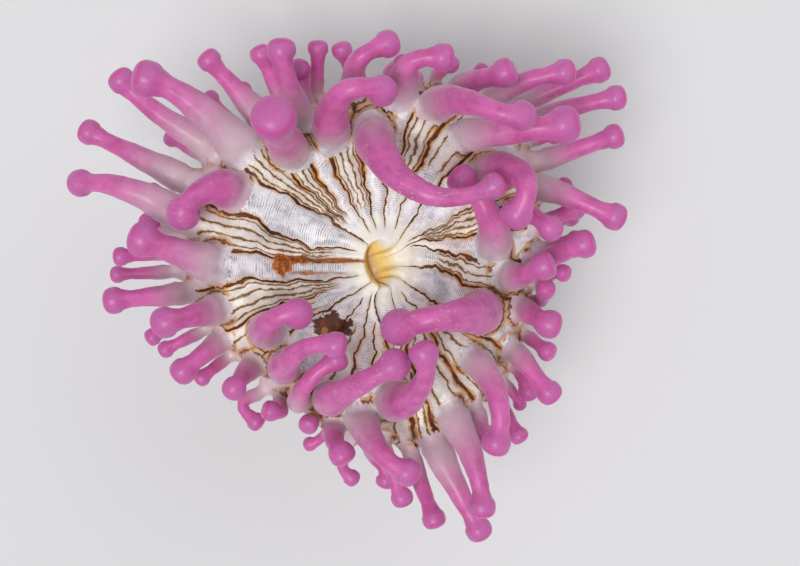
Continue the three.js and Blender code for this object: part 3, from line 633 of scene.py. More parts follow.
def tentacle_skin(pose, points, girth, knob, seed):
    """Rings round the curve. Each ring is square to the curve, and its radius is a soft
    maximum of the shaft and the ball of the knob, with a flare at the root. The columns run
    anticlockwise as seen from the root, so that the faces turn outwards."""
    cycle = CYCLES[pose["cycle"]]
    dice = np.random.default_rng(seed)
    fine = bernstein(np.linspace(0, 1, 401)) @ points
    run = np.append(0, np.cumsum(np.linalg.norm(np.diff(fine, axis=0), axis=1)))
    length = run[-1]
    last = length - 0.85 * knob
    shaft_spots = -ROOT_DEPTH + (last + ROOT_DEPTH) * np.linspace(0, 1, cycle["rows"])
    tilt = np.linspace(-50, 84, KNOB_ROWS)
    knob_spots = length + KNOB_FLAT * knob * np.sin(np.radians(tilt))
    spots = np.concatenate([shaft_spots[:-1], knob_spots])

    inside = np.clip(spots, 0, length)
    middle = np.stack([np.interp(inside, run, fine[:, axis]) for axis in range(3)], axis=-1)
    ahead = np.stack([np.interp(inside + 0.3, run, fine[:, axis]) for axis in range(3)], axis=-1)
    behind = np.stack([np.interp(inside - 0.3, run, fine[:, axis]) for axis in range(3)], axis=-1)
    tangent = unit(ahead - behind)
    middle = middle + tangent * (spots - inside)[:, None]
    chord = points[3] - points[0]
    left = unit(np.array([-chord[1], chord[0], 0.0]))
    aside = unit(left - tangent * (tangent @ left)[:, None])
    above = np.cross(aside, tangent)

    share = inside / length
    from_middle = np.clip(np.abs(spots - length) / (KNOB_FLAT * knob), 0, 1)
    ball = knob * (1 - from_middle ** KNOB_ROUND) ** (1 / KNOB_ROUND)
    shaft = np.where(spots > length, 0, shaft_radius(share, girth, knob))
    radius = (shaft ** 7 + ball ** 7) ** (1 / 7)
    radius = radius + FLARE * girth * np.clip(1 - spots / (FLARE_LENGTH * girth), 0, 1.4) ** 2

    around = np.arange(cycle["around"] + 1) / cycle["around"]
    angle = 2 * np.pi * around
    phases = dice.uniform(0, 2 * np.pi, 5)
    body_share = smoothstep(0, 0.25, share) * smoothstep(1.0, 0.8, share)
    climb = 2 * np.pi * spots[:, None] / girth
    wave = 0.030 * np.sin(climb / 2.3 + phases[0] + np.sin(angle + phases[1]))
    wave = wave + 0.014 * np.sin(climb / 0.8 + phases[2] + 1.3 * np.sin(2 * angle + phases[3]))
    wave = wave * body_share[:, None]
    oval = 0.02 * np.sin(2 * angle + phases[4]) * body_share[:, None]
    rings = radius[:, None] * (1 + wave + oval)
    spoke = aside[:, None] * np.cos(angle)[:, None] + above[:, None] * np.sin(angle)[:, None]
    return middle[:, None] + spoke * rings[..., None], share, spots, around, length


# ---------------------------------------------------------------------------------------
# The skin's maps. Markings and painted shade follow the flesh by maps carried on the mesh: the
# petal and the reach from the lips, the gap and ink of the furrow nearby, its finer lines and its
# gold, how far along a tentacle a point is, and how deep between the tentacles' roots, where shade is
# painted.


def pair(first, second, shape):
    """Two numbers for every point of a grid, as one map."""
    return np.stack([np.broadcast_to(first, shape), np.broadcast_to(second, shape)], axis=-1)


def grid_piece(name, points, maps, material):
    """A mesh from a closed grid: rows of rings, the last column on the first, a pole at each end.

    The faces turn outwards when the columns run anticlockwise as seen from outside the
    first pole. Map values are kept for each face corner, so they do not smear over the join."""
    rows, wide = points.shape[:2]
    columns = wide - 1
    ring = points[:, :columns].reshape(-1, 3)
    poles = np.stack([points[0, :columns].mean(axis=0), points[-1, :columns].mean(axis=0)])
    places = np.concatenate([ring, poles])
    row, column = np.meshgrid(np.arange(rows - 1), np.arange(columns), indexing="ij")
    row, column = row.ravel(), column.ravel()
    corners = np.stack([row, row + 1, row + 1, row], axis=1)
    turns = np.stack([column, column, column + 1, column + 1], axis=1)
    quads = corners * columns + turns % columns
    turn = np.arange(columns)
    ahead = (turn + 1) % columns
    first_pole = np.full(columns, rows * columns)
    last_ring = (rows - 1) * columns
    first_fan = np.stack([first_pole, turn, ahead], axis=1)
    last_fan = np.stack([last_ring + ahead, last_ring + turn, first_pole + 1], axis=1)
    index = np.concatenate([quads.ravel(), first_fan.ravel(), last_fan.ravel()])
    sizes = np.concatenate([np.full(len(quads), 4), np.full(2 * columns, 3)])
    starts = np.append(0, np.cumsum(sizes)[:-1])

    mesh = bpy.data.meshes.new(name)
    mesh.vertices.add(len(places))
    mesh.vertices.foreach_set("co", (places * MM).ravel())
    mesh.loops.add(len(index))
    mesh.loops.foreach_set("vertex_index", index.astype(np.int32))
    mesh.polygons.add(len(sizes))
    mesh.polygons.foreach_set("loop_start", starts.astype(np.int32))
    mesh.update(calc_edges=True)
    for map_name, values in maps.items():
        on_quads = values[corners, turns].reshape(-1, 2)
        low, high = values[0], values[-1]
        middle_low = (low[turn] + low[turn + 1]) / 2
        middle_high = (high[turn] + high[turn + 1]) / 2
        on_first = np.stack([middle_low, low[turn], low[turn + 1]], axis=1).reshape(-1, 2)
        on_last = np.stack([high[turn + 1], high[turn], middle_high], axis=1).reshape(-1, 2)
        on_all = np.concatenate([on_quads, on_first, on_last]).astype(np.float32)
        mesh.uv_layers.new(name=map_name).data.foreach_set("uv", on_all.ravel())
    mesh.materials.append(material)
    mesh.shade_smooth()
    piece = bpy.data.objects.new(name, mesh)
    bpy.context.scene.collection.objects.link(piece)
    return piece


# ---------------------------------------------------------------------------------------
# The body's share of the maps.

DISC_PATCH = (0.315, 0.31)  # middle and radius of the crown's round patch in the bake map
COLUMN_PATCH = (0.64, 0.995, 0.005, 0.615)  # its west, east, south and north
FOOT_PATCH = (0.05, 0.045)  # middle and radius

body_shape = body.shape[:2]
row_counts = [len(part) for part in (throat, lips, disc, margin, column, underside)]
throat_end, lips_end, disc_end, margin_end = np.cumsum(row_counts)[:-2]

crown_run = np.concatenate([
    np.linspace(0, 0.03, row_counts[0]), np.linspace(0.035, 0.16, row_counts[1]),
    np.linspace(0.165, 0.60, row_counts[2]), np.linspace(0.61, 1.0, row_counts[3]),
])[:, None]
crown_bearing = np.concatenate([
    np.broadcast_to(lip_bearing[:1], throat.shape[:2]), lip_bearing, disc_bearing, margin_bearing,
])
crown_patch = DISC_PATCH[0] + DISC_PATCH[1] * crown_run[..., None] * heading(crown_bearing)
west, east, south, north = COLUMN_PATCH
column_patch = pair(
    west + (east - west) * column_length / outline_length[-1],
    south + (north - south) * steps_across / PETALS,
    column.shape[:2],
)
foot_patch = FOOT_PATCH[0] + FOOT_PATCH[1] * foot_share[..., None] * heading(foot_bearing)

share_rows = np.concatenate([
    np.zeros(throat_end), np.zeros(row_counts[1]), disc_share[:, 0], np.ones(body_shape[0] - disc_end),
])
tilt_rows = np.concatenate([np.zeros(disc_end), margin_tilt[:, 0], np.full(body_shape[0] - margin_end, 2.0)])
furrow_fade = (1 - smoothstep(1.1, 1.5, tilt_rows))[:, None]
begun = smoothstep(begins - 0.06, begins + 0.06, share_rows[:, None])
ink = nearest_furrow(along_furrows(share_rows, "ink") * begun) * furrow_fade
ink[:throat_end] = 0
ink[throat_end:lips_end] = ink[lips_end] * smoothstep(0.6, 1.0, lip_share)
golds = np.array([furrow["gold"] for furrow in FURROWS])
bands, parts_at = np.array([furrow.get("bands", WHOLE) for furrow in FURROWS])[petal_of_column].T
parted = smoothstep(parts_at - 0.06, parts_at + 0.10, share_rows[:, None]) * (bands > 1) * furrow_fade
gold = nearest_furrow(golds * smoothstep(0.3, 0.9, share_rows)[:, None]) * furrow_fade

# The reach counts up from the lips' edge, and down from it to the slit and the throat.
SLIT_REACH = -9
THROAT_REACH = -12
MARGIN_STEP = 0.6  # between the disc's last row and the margin's first
COLUMN_REACH = 60.0

below = body[margin_end:]
reach = np.concatenate([
    np.broadcast_to(SLIT_REACH + (THROAT_REACH - SLIT_REACH) * throat_share, throat.shape[:2]),
    np.broadcast_to(SLIT_REACH * (1 - lip_share), lips.shape[:2]),
    disc_reach,
    disc_reach[-1:] + MARGIN_STEP + np.broadcast_to(margin_reach, margin.shape[:2]),
    np.full(below.shape[:2], COLUMN_REACH),
])
width = np.concatenate([
    np.ones(throat.shape[:2]), lip_width, disc_width, margin_width, np.ones(below.shape[:2]),
])
crease = np.zeros(body_shape)
crease[throat_end:lips_end] = lip_fold
crease[:throat_end] = 1

body_maps = {
    "OFBake": np.concatenate([crown_patch, column_patch, foot_patch]),
    "Petal": pair(steps_across, reach, body_shape),
    "Furrow": pair(width, ink, body_shape),
    "Bands": pair(bands, parted, body_shape),
    "Gold": pair(gold, 0, body_shape),
    "Limb": pair(-1, 0.3, body_shape),
    "Mouth": pair(crease, 0, body_shape),
}

# Each tentacle grows out of a mound. Behind one that lies outwards, the disc runs up onto
# its back as a ramp. The skin in the crevices beside and below the roots gets painted shade.

MOUND_REACH = 2.4
MOUND_RISE = 0.6
RAMP_REACH = 3.0
RAMP_RISE = 1.45
RAMP_BEHIND = 0.7  # all in girths
UPRIGHT_REACH = 40
LYING_REACH = 56  # how far from the axis the knobs of upright and of lying tentacles are
CREVICE_REACH = 1.8
CREVICE_END = 3.0  # both in girths

lyings = smoothstep(UPRIGHT_REACH, LYING_REACH, np.array([pose["tip"][1] for pose in POSES]))


def with_mounds(points):
    """Points lifted round each tentacle's root, by a bell as wide as a few of its girths.

    Where bells overlap, their mean is taken, weighted by the cubes of their own heights."""
    total = np.zeros_like(points)
    weight = np.full(points.shape[:2], 1e-9)
    for pose, curve, girth, lying in zip(POSES, curves, girths, lyings):
        root, facing = rooted(pose)
        outwards = np.append(unit(root[:2]), 0)
        away = np.linalg.norm(points - (root - RAMP_BEHIND * lying * girth * outwards), axis=-1)
        reach = (MOUND_REACH + (RAMP_REACH - MOUND_REACH) * lying) * girth
        rise = (MOUND_RISE + (RAMP_RISE - MOUND_RISE) * lying) * girth
        upwards = unit(unit(curve[1] - curve[0]) + facing + np.array([0, 0, 3 * lying]))
        bell = 1 - smoothstep(0, reach, away)
        total += (bell ** 4)[..., None] * rise * upwards
        weight += bell ** 3
    return points + total / weight[..., None]


def beside_root(offset, outwards, lying):
    """A share that is full on the outer side of a root, or, where the tentacle lies outwards,
    to the left and right of it. The offset from the root is in girths."""
    outer = smoothstep(-0.7, 0.1, offset[..., :2] @ outwards)
    aside = np.abs(offset[..., 0] * outwards[1] - offset[..., 1] * outwards[0])
    return (1 - lying) * outer + lying * smoothstep(0.55, 0.95, aside)


# Painted shade: how much shade is painted into the skin by the crevice of the nearest root.
def crevices(points):
    """The share that the root of the nearest tentacle gives, fading far from all roots."""
    nearest = np.full(points.shape[:2], np.inf)
    share = np.zeros(points.shape[:2])
    for curve, girth, lying in zip(curves, girths, lyings):
        offset = (points - curve[0]) / girth
        away = np.linalg.norm(offset, axis=-1)
        share = np.where(away < nearest, beside_root(offset, unit(curve[0, :2]), lying), share)
        nearest = np.minimum(nearest, away)
    return share * (1 - smoothstep(CREVICE_REACH, CREVICE_END, nearest))


crown_rows = slice(lips_end, margin_end)
body[crown_rows] = with_mounds(body[crown_rows])
# Painted shade: the share of shade painted into the crevices round the roots, kept in the Root map.
crevice_shade = np.zeros(body_shape)
crevice_shade[crown_rows] = crevices(body[crown_rows])
body_maps["Root"] = pair(0, crevice_shade, body_shape)

crown_flesh = bpy.data.materials.new("crown_flesh")
limb_flesh = bpy.data.materials.new("limb_flesh")
skin = grid_piece("skin", body, body_maps, crown_flesh)


# ---------------------------------------------------------------------------------------
# The tentacles' share of the maps, each in its own strip, and their joining to the body.

STRIPS = {  # the width and height of a strip, and where the row of them starts
    "first": (0.083, 0.112, 0.632),
    "second": (0.083, 0.112, 0.748),
    "third": (0.0415, 0.078, 0.864),
    "outer": (0.0277, 0.050, 0.946),
}
STRIP_EDGE = 0.0015
ROOT_RADIUS = 40  # about how far from the axis the roots stand
ROOT_ON_LIMB = 0.6  # how much fainter the painted root shade is on the tentacles' side of the join

rim_bearing = margin_bearing[0]
grown = bpy.data.collections.new("grown")
bpy.context.scene.collection.children.link(grown)
placed = dict.fromkeys(CYCLES, 0)

for number, (pose, points) in enumerate(zip(POSES, curves)):
    rings, share, spots, around, length = tentacle_skin(pose, points, girths[number], knobs[number], number)
    cycle = pose["cycle"]
    shape = rings.shape[:2]
    bearing = (math.radians(pose["root"]) - rim_bearing[0]) % (2 * np.pi) + rim_bearing[0]
    petal = np.interp(bearing, rim_bearing, steps_across)
    inner = np.floor(petal) + np.clip(petal % 1, 0.4, 0.6)
    gap = rim_bearing[min(int(petal) + 1, PETALS) * ACROSS_PETAL] - rim_bearing[int(petal) * ACROSS_PETAL]
    broad = gap * ROOT_RADIUS
    aside = girths[number] * np.cos(2 * np.pi * around) / broad
    root_reach = DISC_REACH + MARGIN_ROLL * math.radians(CYCLES[cycle]["tilt"])
    strip_width, strip_height, strip_south = STRIPS[cycle]
    strip_west = placed[cycle] * strip_width
    placed[cycle] += 1
    climb = np.clip((spots + ROOT_DEPTH) / (length + knobs[number] + ROOT_DEPTH), 0, 1)
    up_limb = spots / length + np.clip((spots - length) / knobs[number], 0, 1)
    beside = beside_root((rings - points[0]) / girths[number], unit(points[0, :2]), lyings[number])
    maps = {
        "OFBake": pair(
            strip_west + STRIP_EDGE + (strip_width - 2 * STRIP_EDGE) * around,
            strip_south + STRIP_EDGE + (strip_height - 2 * STRIP_EDGE) * climb[:, None],
            shape,
        ),
        "Petal": pair(inner + np.clip(aside, -0.35, 0.35), root_reach + spots[:, None], shape),
        "Furrow": pair(broad, 0, shape),
        "Bands": pair(1, 0, shape),
        "Gold": pair(0, pose.get("glint_amount", 0), shape),
        "Limb": pair(up_limb[:, None], pose.get("pale", PALE[cycle]), shape),
        "Mouth": pair(0, around, shape),
        "Root": pair(0, ROOT_ON_LIMB * beside, shape),
    }
    tentacle = grid_piece(f"tentacle_{number + 1:02d}", rings, maps, limb_flesh)
    bpy.context.scene.collection.objects.unlink(tentacle)
    grown.objects.link(tentacle)

union = skin.modifiers.new("grown", "BOOLEAN")
union.operation = "UNION"
union.solver = "MANIFOLD"
union.operand_type = "COLLECTION"
union.collection = grown
union.material_mode = "TRANSFER"
depsgraph = bpy.context.evaluated_depsgraph_get()
whole = bpy.data.meshes.new_from_object(skin.evaluated_get(depsgraph), depsgraph=depsgraph)
skin.modifiers.clear()
skin.data = whole
for tentacle in list(grown.objects):
    bpy.data.objects.remove(tentacle)
bpy.data.collections.remove(grown)

# The join leaves some points with only two edges. They are taken out, because faces on both
# sides would be cut off at them in the same triangle, as a flap with no thickness.
joined = bmesh.new()
joined.from_mesh(whole)
between_two = [point for point in joined.verts if len(point.link_edges) == 2]
bmesh.ops.dissolve_verts(joined, verts=between_two)
joined.to_mesh(whole)
joined.free()


# Where a tentacle leaves the margin the skin is one smooth sheet: points near the joins
# are drawn towards the middle of their neighbours, and less and less further away.

SMOOTHING_PASSES = 34
JOIN_REACH = 4.5  # how far from a join the smoothing is felt
STRIDES = 10  # edges that this reach may cross

count = len(whole.vertices)
places = np.empty(count * 3)
whole.vertices.foreach_get("co", places)
places = places.reshape(-1, 3)
ends = np.empty(len(whole.edges) * 2, dtype=np.int32)
whole.edges.foreach_get("vertices", ends)
ends = ends.reshape(-1, 2)
neighbours = np.bincount(ends.ravel(), minlength=count)


def neighbour_mean(values):
    """The mean of each point's neighbours along the mesh's edges."""
    columns = values.reshape(count, -1)
    total = np.zeros_like(columns)
    for axis in range(columns.shape[1]):
        total[:, axis] = np.bincount(ends[:, 0], columns[ends[:, 1], axis], count)
        total[:, axis] += np.bincount(ends[:, 1], columns[ends[:, 0], axis], count)
    return (total / np.maximum(neighbours, 1)[:, None]).reshape(values.shape)


face_material = np.empty(len(whole.polygons), dtype=np.int32)
whole.polygons.foreach_get("material_index", face_material)
face_size = np.empty(len(whole.polygons), dtype=np.int32)
whole.polygons.foreach_get("loop_total", face_size)
corner_point = np.empty(len(whole.loops), dtype=np.int32)
whole.loops.foreach_get("vertex_index", corner_point)
corner_material = np.repeat(face_material, face_size)
on_limb = np.bincount(corner_point, corner_material, count)
all_faces = np.bincount(corner_point, minlength=count)
at_join = ((on_limb > 0) & (on_limb < all_faces)).astype(float)
edge_lengths = np.linalg.norm(places[ends[:, 0]] - places[ends[:, 1]], axis=1) / MM
from_join = np.where(at_join > 0, 0.0, JOIN_REACH)
for _ in range(STRIDES):
    np.minimum.at(from_join, ends[:, 0], from_join[ends[:, 1]] + edge_lengths)
    np.minimum.at(from_join, ends[:, 1], from_join[ends[:, 0]] + edge_lengths)
pull = (1 - smoothstep(0.15, 1.0, from_join / JOIN_REACH))[:, None]
root_map = np.empty(len(whole.loops) * 2, dtype=np.float32)
whole.uv_layers["Root"].data.foreach_get("uv", root_map)
root_map[::2] = from_join[corner_point]
whole.uv_layers["Root"].data.foreach_set("uv", root_map)
for _ in range(SMOOTHING_PASSES):
    places = places + 0.6 * pull * (neighbour_mean(places) - places)
whole.vertices.foreach_set("co", places.ravel())
whole.update()


# ---------------------------------------------------------------------------------------
# The flesh of the disc: whitish, wet muscle with fine cross striations and dark inked
# furrows. The petals end round the mouth in cream pads, and the pit between them is gold.

def add_node(tree, kind, *inputs, **settings):
    """Makes a node, sets its properties, and plugs values or sockets into its inputs in order."""
    made = tree.nodes.new(kind)
    for name, value in settings.items():
        setattr(made, name, value)
    for socket, value in zip(made.inputs, inputs):
        if isinstance(value, bpy.types.NodeSocket):
            tree.links.new(value, socket)
        elif value is not None:
            socket.default_value = value
    return made


def calc(tree, operation, *inputs):
    """One step of arithmetic."""
    return add_node(tree, "ShaderNodeMath", *inputs, operation=operation).outputs[0]


def rise_between(tree, value, low, high, start=0.0, end=1.0):
    """A smooth step from start to end as the value goes from low to high."""
    return add_node(
        tree, "ShaderNodeMapRange", value, low, high, start, end, interpolation_type="SMOOTHSTEP"
    ).outputs[0]


def blend_colours(tree, share, one, other, mode="MIX"):
    """One colour laid over another by a share."""
    made = tree.nodes.new("ShaderNodeMix")
    made.data_type = "RGBA"
    made.blend_type = mode
    for index, value in ((0, share), (6, one), (7, other)):
        if isinstance(value, bpy.types.NodeSocket):
            tree.links.new(value, made.inputs[index])
        else:
            made.inputs[index].default_value = value
    return made.outputs[2]


def paint(red, green, blue):
    """A colour as it is seen, from 0 to 255, turned into the linear numbers that light uses."""
    seen = np.array([red, green, blue]) / 255
    linear = np.where(seen <= 0.04045, seen / 12.92, ((seen + 0.055) / 1.055) ** 2.4)
    return (*[float(part) for part in linear], 1.0)


def map_pair(tree, name):
    """The two numbers of one of the skin's maps."""
    source = add_node(tree, "ShaderNodeUVMap", uv_map=name)
    numbers = add_node(tree, "ShaderNodeSeparateXYZ", source.outputs[0]).outputs
    return numbers[0], numbers[1]


def mottle(tree, place, scale, detail=2.0, roughness=0.5, stretch=None):
    """Noise from 0 to 1 with features of about one over scale, in millimetres."""
    if stretch is not None:
        place = add_node(tree, "ShaderNodeVectorMath", place, stretch, operation="MULTIPLY").outputs[0]
    return add_node(tree, "ShaderNodeTexNoise", place, None, scale, detail, roughness).outputs[0]


def millimetres(tree):
    """The place on the object, in millimetres."""
    source = add_node(tree, "ShaderNodeTexCoord")
    scaled = add_node(tree, "ShaderNodeVectorMath", source.outputs["Object"], operation="SCALE")
    scaled.inputs["Scale"].default_value = 1 / MM
    return scaled.outputs[0]


def near_spot(tree, place, middle, radius, ragged, stretch=(1, 1, 1)):
    """1 inside a spot of the disc, 0 outside it, with an edge that noise frays.

    The spot is a ball, drawn out along each axis by one over that axis's stretch."""
    offset = add_node(tree, "ShaderNodeVectorMath", place, middle, operation="SUBTRACT").outputs[0]
    offset = add_node(tree, "ShaderNodeVectorMath", offset, stretch, operation="MULTIPLY").outputs[0]
    apart = add_node(tree, "ShaderNodeVectorMath", offset, operation="LENGTH").outputs["Value"]
    frayed = calc(tree, "MULTIPLY_ADD", mottle(tree, place, 0.45, 4.0, 0.65), ragged, apart)
    return rise_between(tree, frayed, radius + ragged * 0.5 + 0.3, radius + ragged * 0.5 - 0.3)


def new_group(name, inputs, outputs):
    """An empty node group with named sockets, its inputs, and the node that takes its outputs."""
    group = bpy.data.node_groups.new(name, "ShaderNodeTree")
    for socket, (kind, value) in inputs.items():
        group.interface.new_socket(socket, in_out="INPUT", socket_type=kind).default_value = value
    for socket, kind in outputs.items():
        group.interface.new_socket(socket, in_out="OUTPUT", socket_type=kind)
    return group, group.nodes.new("NodeGroupInput").outputs, group.nodes.new("NodeGroupOutput").inputs


STRIA = 0.62  # spacing of the disc's cross striations, in millimetres

PETAL_WHITE = paint(253, 254, 255)
PETAL_GREY = paint(160, 166, 180)
PETAL_MAUVE = paint(206, 178, 190)
UPPER_PALE = paint(226, 202, 210)
STRIA_SHADE = paint(106, 108, 122)
BAND_CREAM = paint(246, 236, 206)
FURROW_INK = paint(76, 34, 12)
FURROW_RUST = paint(134, 62, 18)
FURROW_EDGE = paint(226, 160, 84)
BAND_INK = paint(94, 50, 20)
LINE_EDGE = paint(238, 206, 146)
# Gold for the furrows' own tint, and for the painted shade in the crevices round the roots.
ROOT_GOLD_AND_SHADE = paint(214, 150, 62)
LIP_GOLD = paint(255, 226, 116)
# Painted shade for the lips: amber in the folds and the pit's depth, brown at the closed slit.
LIP_SHADE_AMBER = paint(208, 150, 50)
SLIT_SHADE_BROWN = paint(118, 70, 20)
LIP_CREAM = paint(255, 250, 226)
LIP_PEARL = paint(244, 249, 240)
RUST = paint(204, 124, 36)
RUST_DARK = paint(138, 62, 18)
BROWN_CRUST = paint(92, 44, 20)
CRUST_WORN = paint(128, 66, 28)
CRUST_MIDDLE = paint(196, 124, 56)

RUST_SPOTS = (  # middle, radius, raggedness and stretch of the orange stain's parts
    ((-23.0, -2.4, DISC_LEVEL), 2.2, 5.0, (0.8, 0.85, 0.3)),
    ((-18.6, -1.1, DISC_LEVEL), 1.3, 3.0, (0.25, 1.15, 0.3)),
    ((-9.0, -1.2, DISC_LEVEL), 0.75, 0.6, (0.1, 0.9, 0.3)),
    ((-27.2, -4.8, DISC_LEVEL), 0.5, 1.2, (0.22, 1.2, 0.3)),
    ((-14.6, -4.5, DISC_LEVEL), 0.5, 1.2, (0.08, 1.0, 0.3)),
)
CRUST_SPOT = (-9.6, -18.4, DISC_LEVEL)
CRUST_MIDDLE_SPOT = (-11.6, -20.2, DISC_LEVEL)

disc_markings_and_shade, given, result = new_group(
    "disc_markings_and_shade",
    {"Striation": ("NodeSocketFloat", 1.0)},
    {"Colour": "NodeSocketColor", "Relief": "NodeSocketFloat"},
)
tree = disc_markings_and_shade
place = millimetres(tree)
petal, reach = map_pair(tree, "Petal")
width, ink = map_pair(tree, "Furrow")
bands, parted = map_pair(tree, "Bands")
gold, _ = map_pair(tree, "Gold")
crease, _ = map_pair(tree, "Mouth")
from_root, crevice_shade = map_pair(tree, "Root")

# How far, in millimetres, a point is from the nearest furrow, with a ragged, wandering edge.
ragged = calc(tree, "SUBTRACT", mottle(tree, place, 0.8, 4.0, 0.62), 0.5)
across = calc(tree, "SUBTRACT", calc(tree, "FRACT", calc(tree, "ADD", petal, 0.5)), 0.5)
straight = calc(tree, "ABSOLUTE", calc(tree, "MULTIPLY", across, width))
wander = calc(tree, "SUBTRACT", mottle(tree, place, 0.34, 2.0, 0.5), 0.5)
wander = calc(tree, "MULTIPLY", wander, rise_between(tree, width, 1.5, 5.0, 0.0, 1.4))
wander = calc(tree, "MULTIPLY", wander, rise_between(tree, reach, 14.0, 28.0, 1.0, 0.5))
wander = calc(tree, "MULTIPLY_ADD", ragged, rise_between(tree, reach, 10.0, 26.0, 0.8, 0.4), wander)
to_furrow = calc(tree, "ABSOLUTE", calc(tree, "MULTIPLY_ADD", across, width, wander))

# Petals: white, greyed in soft patches, mauve towards the margin and plain below it.
to_margin = rise_between(tree, reach, 18.0, 34.0)
to_column = rise_between(tree, reach, 34.0, 48.0)
patches = rise_between(tree, mottle(tree, place, 0.12, 2.0, 0.5), 0.42, 0.68)
lengthwise = add_node(tree, "ShaderNodeCombineXYZ", calc(tree, "MULTIPLY", petal, 7.0), reach).outputs[0]
clouds = rise_between(tree, mottle(tree, lengthwise, 0.4, 4.0, 0.62, stretch=(1, 0.4, 1)), 0.44, 0.64)
mid_petal = rise_between(tree, straight, 0.3, 2.0, 0.1, 0.5)
greyed = calc(tree, "MULTIPLY", clouds, mid_petal)
mauve_share = calc(tree, "MULTIPLY", patches, calc(tree, "MULTIPLY_ADD", to_margin, 0.3, 0.06))
colour = blend_colours(tree, mauve_share, PETAL_WHITE, PETAL_MAUVE)
colour = blend_colours(tree, greyed, colour, PETAL_GREY)
colour = blend_colours(tree, to_column, colour, UPPER_PALE)
colour = blend_colours(tree, calc(tree, "MULTIPLY", parted, 0.3), colour, BAND_CREAM)

# Striations: a sine wave along the reach, straight across each petal, and faint in places.
drift = calc(tree, "MULTIPLY", mottle(tree, place, 0.14, 2.0, 0.5), 2.0)
phase = calc(tree, "MULTIPLY", calc(tree, "ADD", reach, drift), 2 * math.pi / STRIA)
stripe = calc(tree, "MULTIPLY_ADD", calc(tree, "SINE", phase), 0.5, 0.5)
stripe = rise_between(tree, stripe, 0.2, 0.8)
for scale, faintest in ((0.22, 0.15), (0.6, 0.2)):
    strong = rise_between(tree, mottle(tree, place, scale, 3.0, 0.6), 0.36, 0.60, faintest, 0.95)
    stripe = calc(tree, "MULTIPLY", stripe, strong)
stripe = calc(tree, "MULTIPLY", stripe, rise_between(tree, reach, 1.5, 5.0))
stripe = calc(tree, "MULTIPLY", stripe, rise_between(tree, reach, 44.0, 36.0))
stripe = calc(tree, "MULTIPLY", stripe, rise_between(tree, straight, 0.25, 1.1, 0.3, 1.0))
stripe = calc(tree, "MULTIPLY", stripe, calc(tree, "MULTIPLY_ADD", parted, -0.5, 1.0))
stripe = calc(tree, "MULTIPLY", stripe, given["Striation"])
colour = blend_colours(tree, calc(tree, "MULTIPLY", stripe, 0.72), colour, STRIA_SHADE)

# Banded petals: parted by finer lines, with cream edges, that run on with the furrows.
band_width = calc(tree, "DIVIDE", width, bands)
turns = calc(tree, "ADD", calc(tree, "DIVIDE", to_furrow, band_width), 0.5)
to_line = calc(tree, "ABSOLUTE", calc(tree, "SUBTRACT", calc(tree, "FRACT", turns), 0.5))
to_line = calc(tree, "MULTIPLY", to_line, band_width)
line_half = rise_between(tree, mottle(tree, place, 0.5, 3.0, 0.6), 0.36, 0.62, 0.03, 0.22)
line_half = calc(tree, "MULTIPLY", line_half, rise_between(tree, reach, 12.0, 24.0, 1.0, 1.4))
line_edge = rise_between(tree, to_line, calc(tree, "ADD", line_half, 0.55), line_half)
line_edge = calc(tree, "MULTIPLY", calc(tree, "MULTIPLY", line_edge, parted), 0.6)
line_core = calc(tree, "MULTIPLY", line_half, 0.4)
line = rise_between(tree, to_line, calc(tree, "ADD", line_half, 0.12), line_core)
line = calc(tree, "MULTIPLY", line, parted)
colour = blend_colours(tree, line_edge, colour, LINE_EDGE)

# Cream and gold beside a furrow, more so where it leaves the disc.
inked = rise_between(tree, ink, 0.02, 0.12)
beside = rise_between(tree, to_furrow, 2.0, 0.3)
cream_share = calc(tree, "MULTIPLY", calc(tree, "MULTIPLY", beside, inked), 0.5)
colour = blend_colours(tree, cream_share, colour, BAND_CREAM)
gold_breaks = rise_between(tree, mottle(tree, place, 0.35, 3.0, 0.6), 0.34, 0.54, 0.4, 1.7)
gold_share = calc(tree, "MULTIPLY", calc(tree, "MULTIPLY", beside, gold), gold_breaks)
colour = blend_colours(tree, gold_share, colour, ROOT_GOLD_AND_SHADE)
colour = blend_colours(tree, calc(tree, "MULTIPLY", line, 0.9), colour, BAND_INK)

# The furrow itself: a thin orange edge round a dark, uneven core.
uneven = rise_between(tree, mottle(tree, place, 0.4, 3.0, 0.6), 0.3, 0.7, 0.55, 1.45)
half = calc(tree, "MULTIPLY", ink, uneven)
half = calc(tree, "MULTIPLY", half, rise_between(tree, reach, -2.0, 7.0, 0.35, 1.0))
half = calc(tree, "MULTIPLY", half, rise_between(tree, reach, 12.0, 24.0, 1.0, 1.5))
halo = calc(tree, "MULTIPLY", rise_between(tree, to_furrow, calc(tree, "ADD", half, 0.35), half), inked)
core = rise_between(tree, to_furrow, calc(tree, "ADD", half, 0.10), calc(tree, "MULTIPLY", half, 0.8))
core = calc(tree, "MULTIPLY", core, inked)
rusty = rise_between(tree, mottle(tree, place, 0.25, 2.0, 0.5), 0.45, 0.65, 0.0, 0.7)
core_colour = blend_colours(tree, rusty, FURROW_INK, FURROW_RUST)
colour = blend_colours(tree, calc(tree, "MULTIPLY", halo, 0.65), colour, FURROW_EDGE)

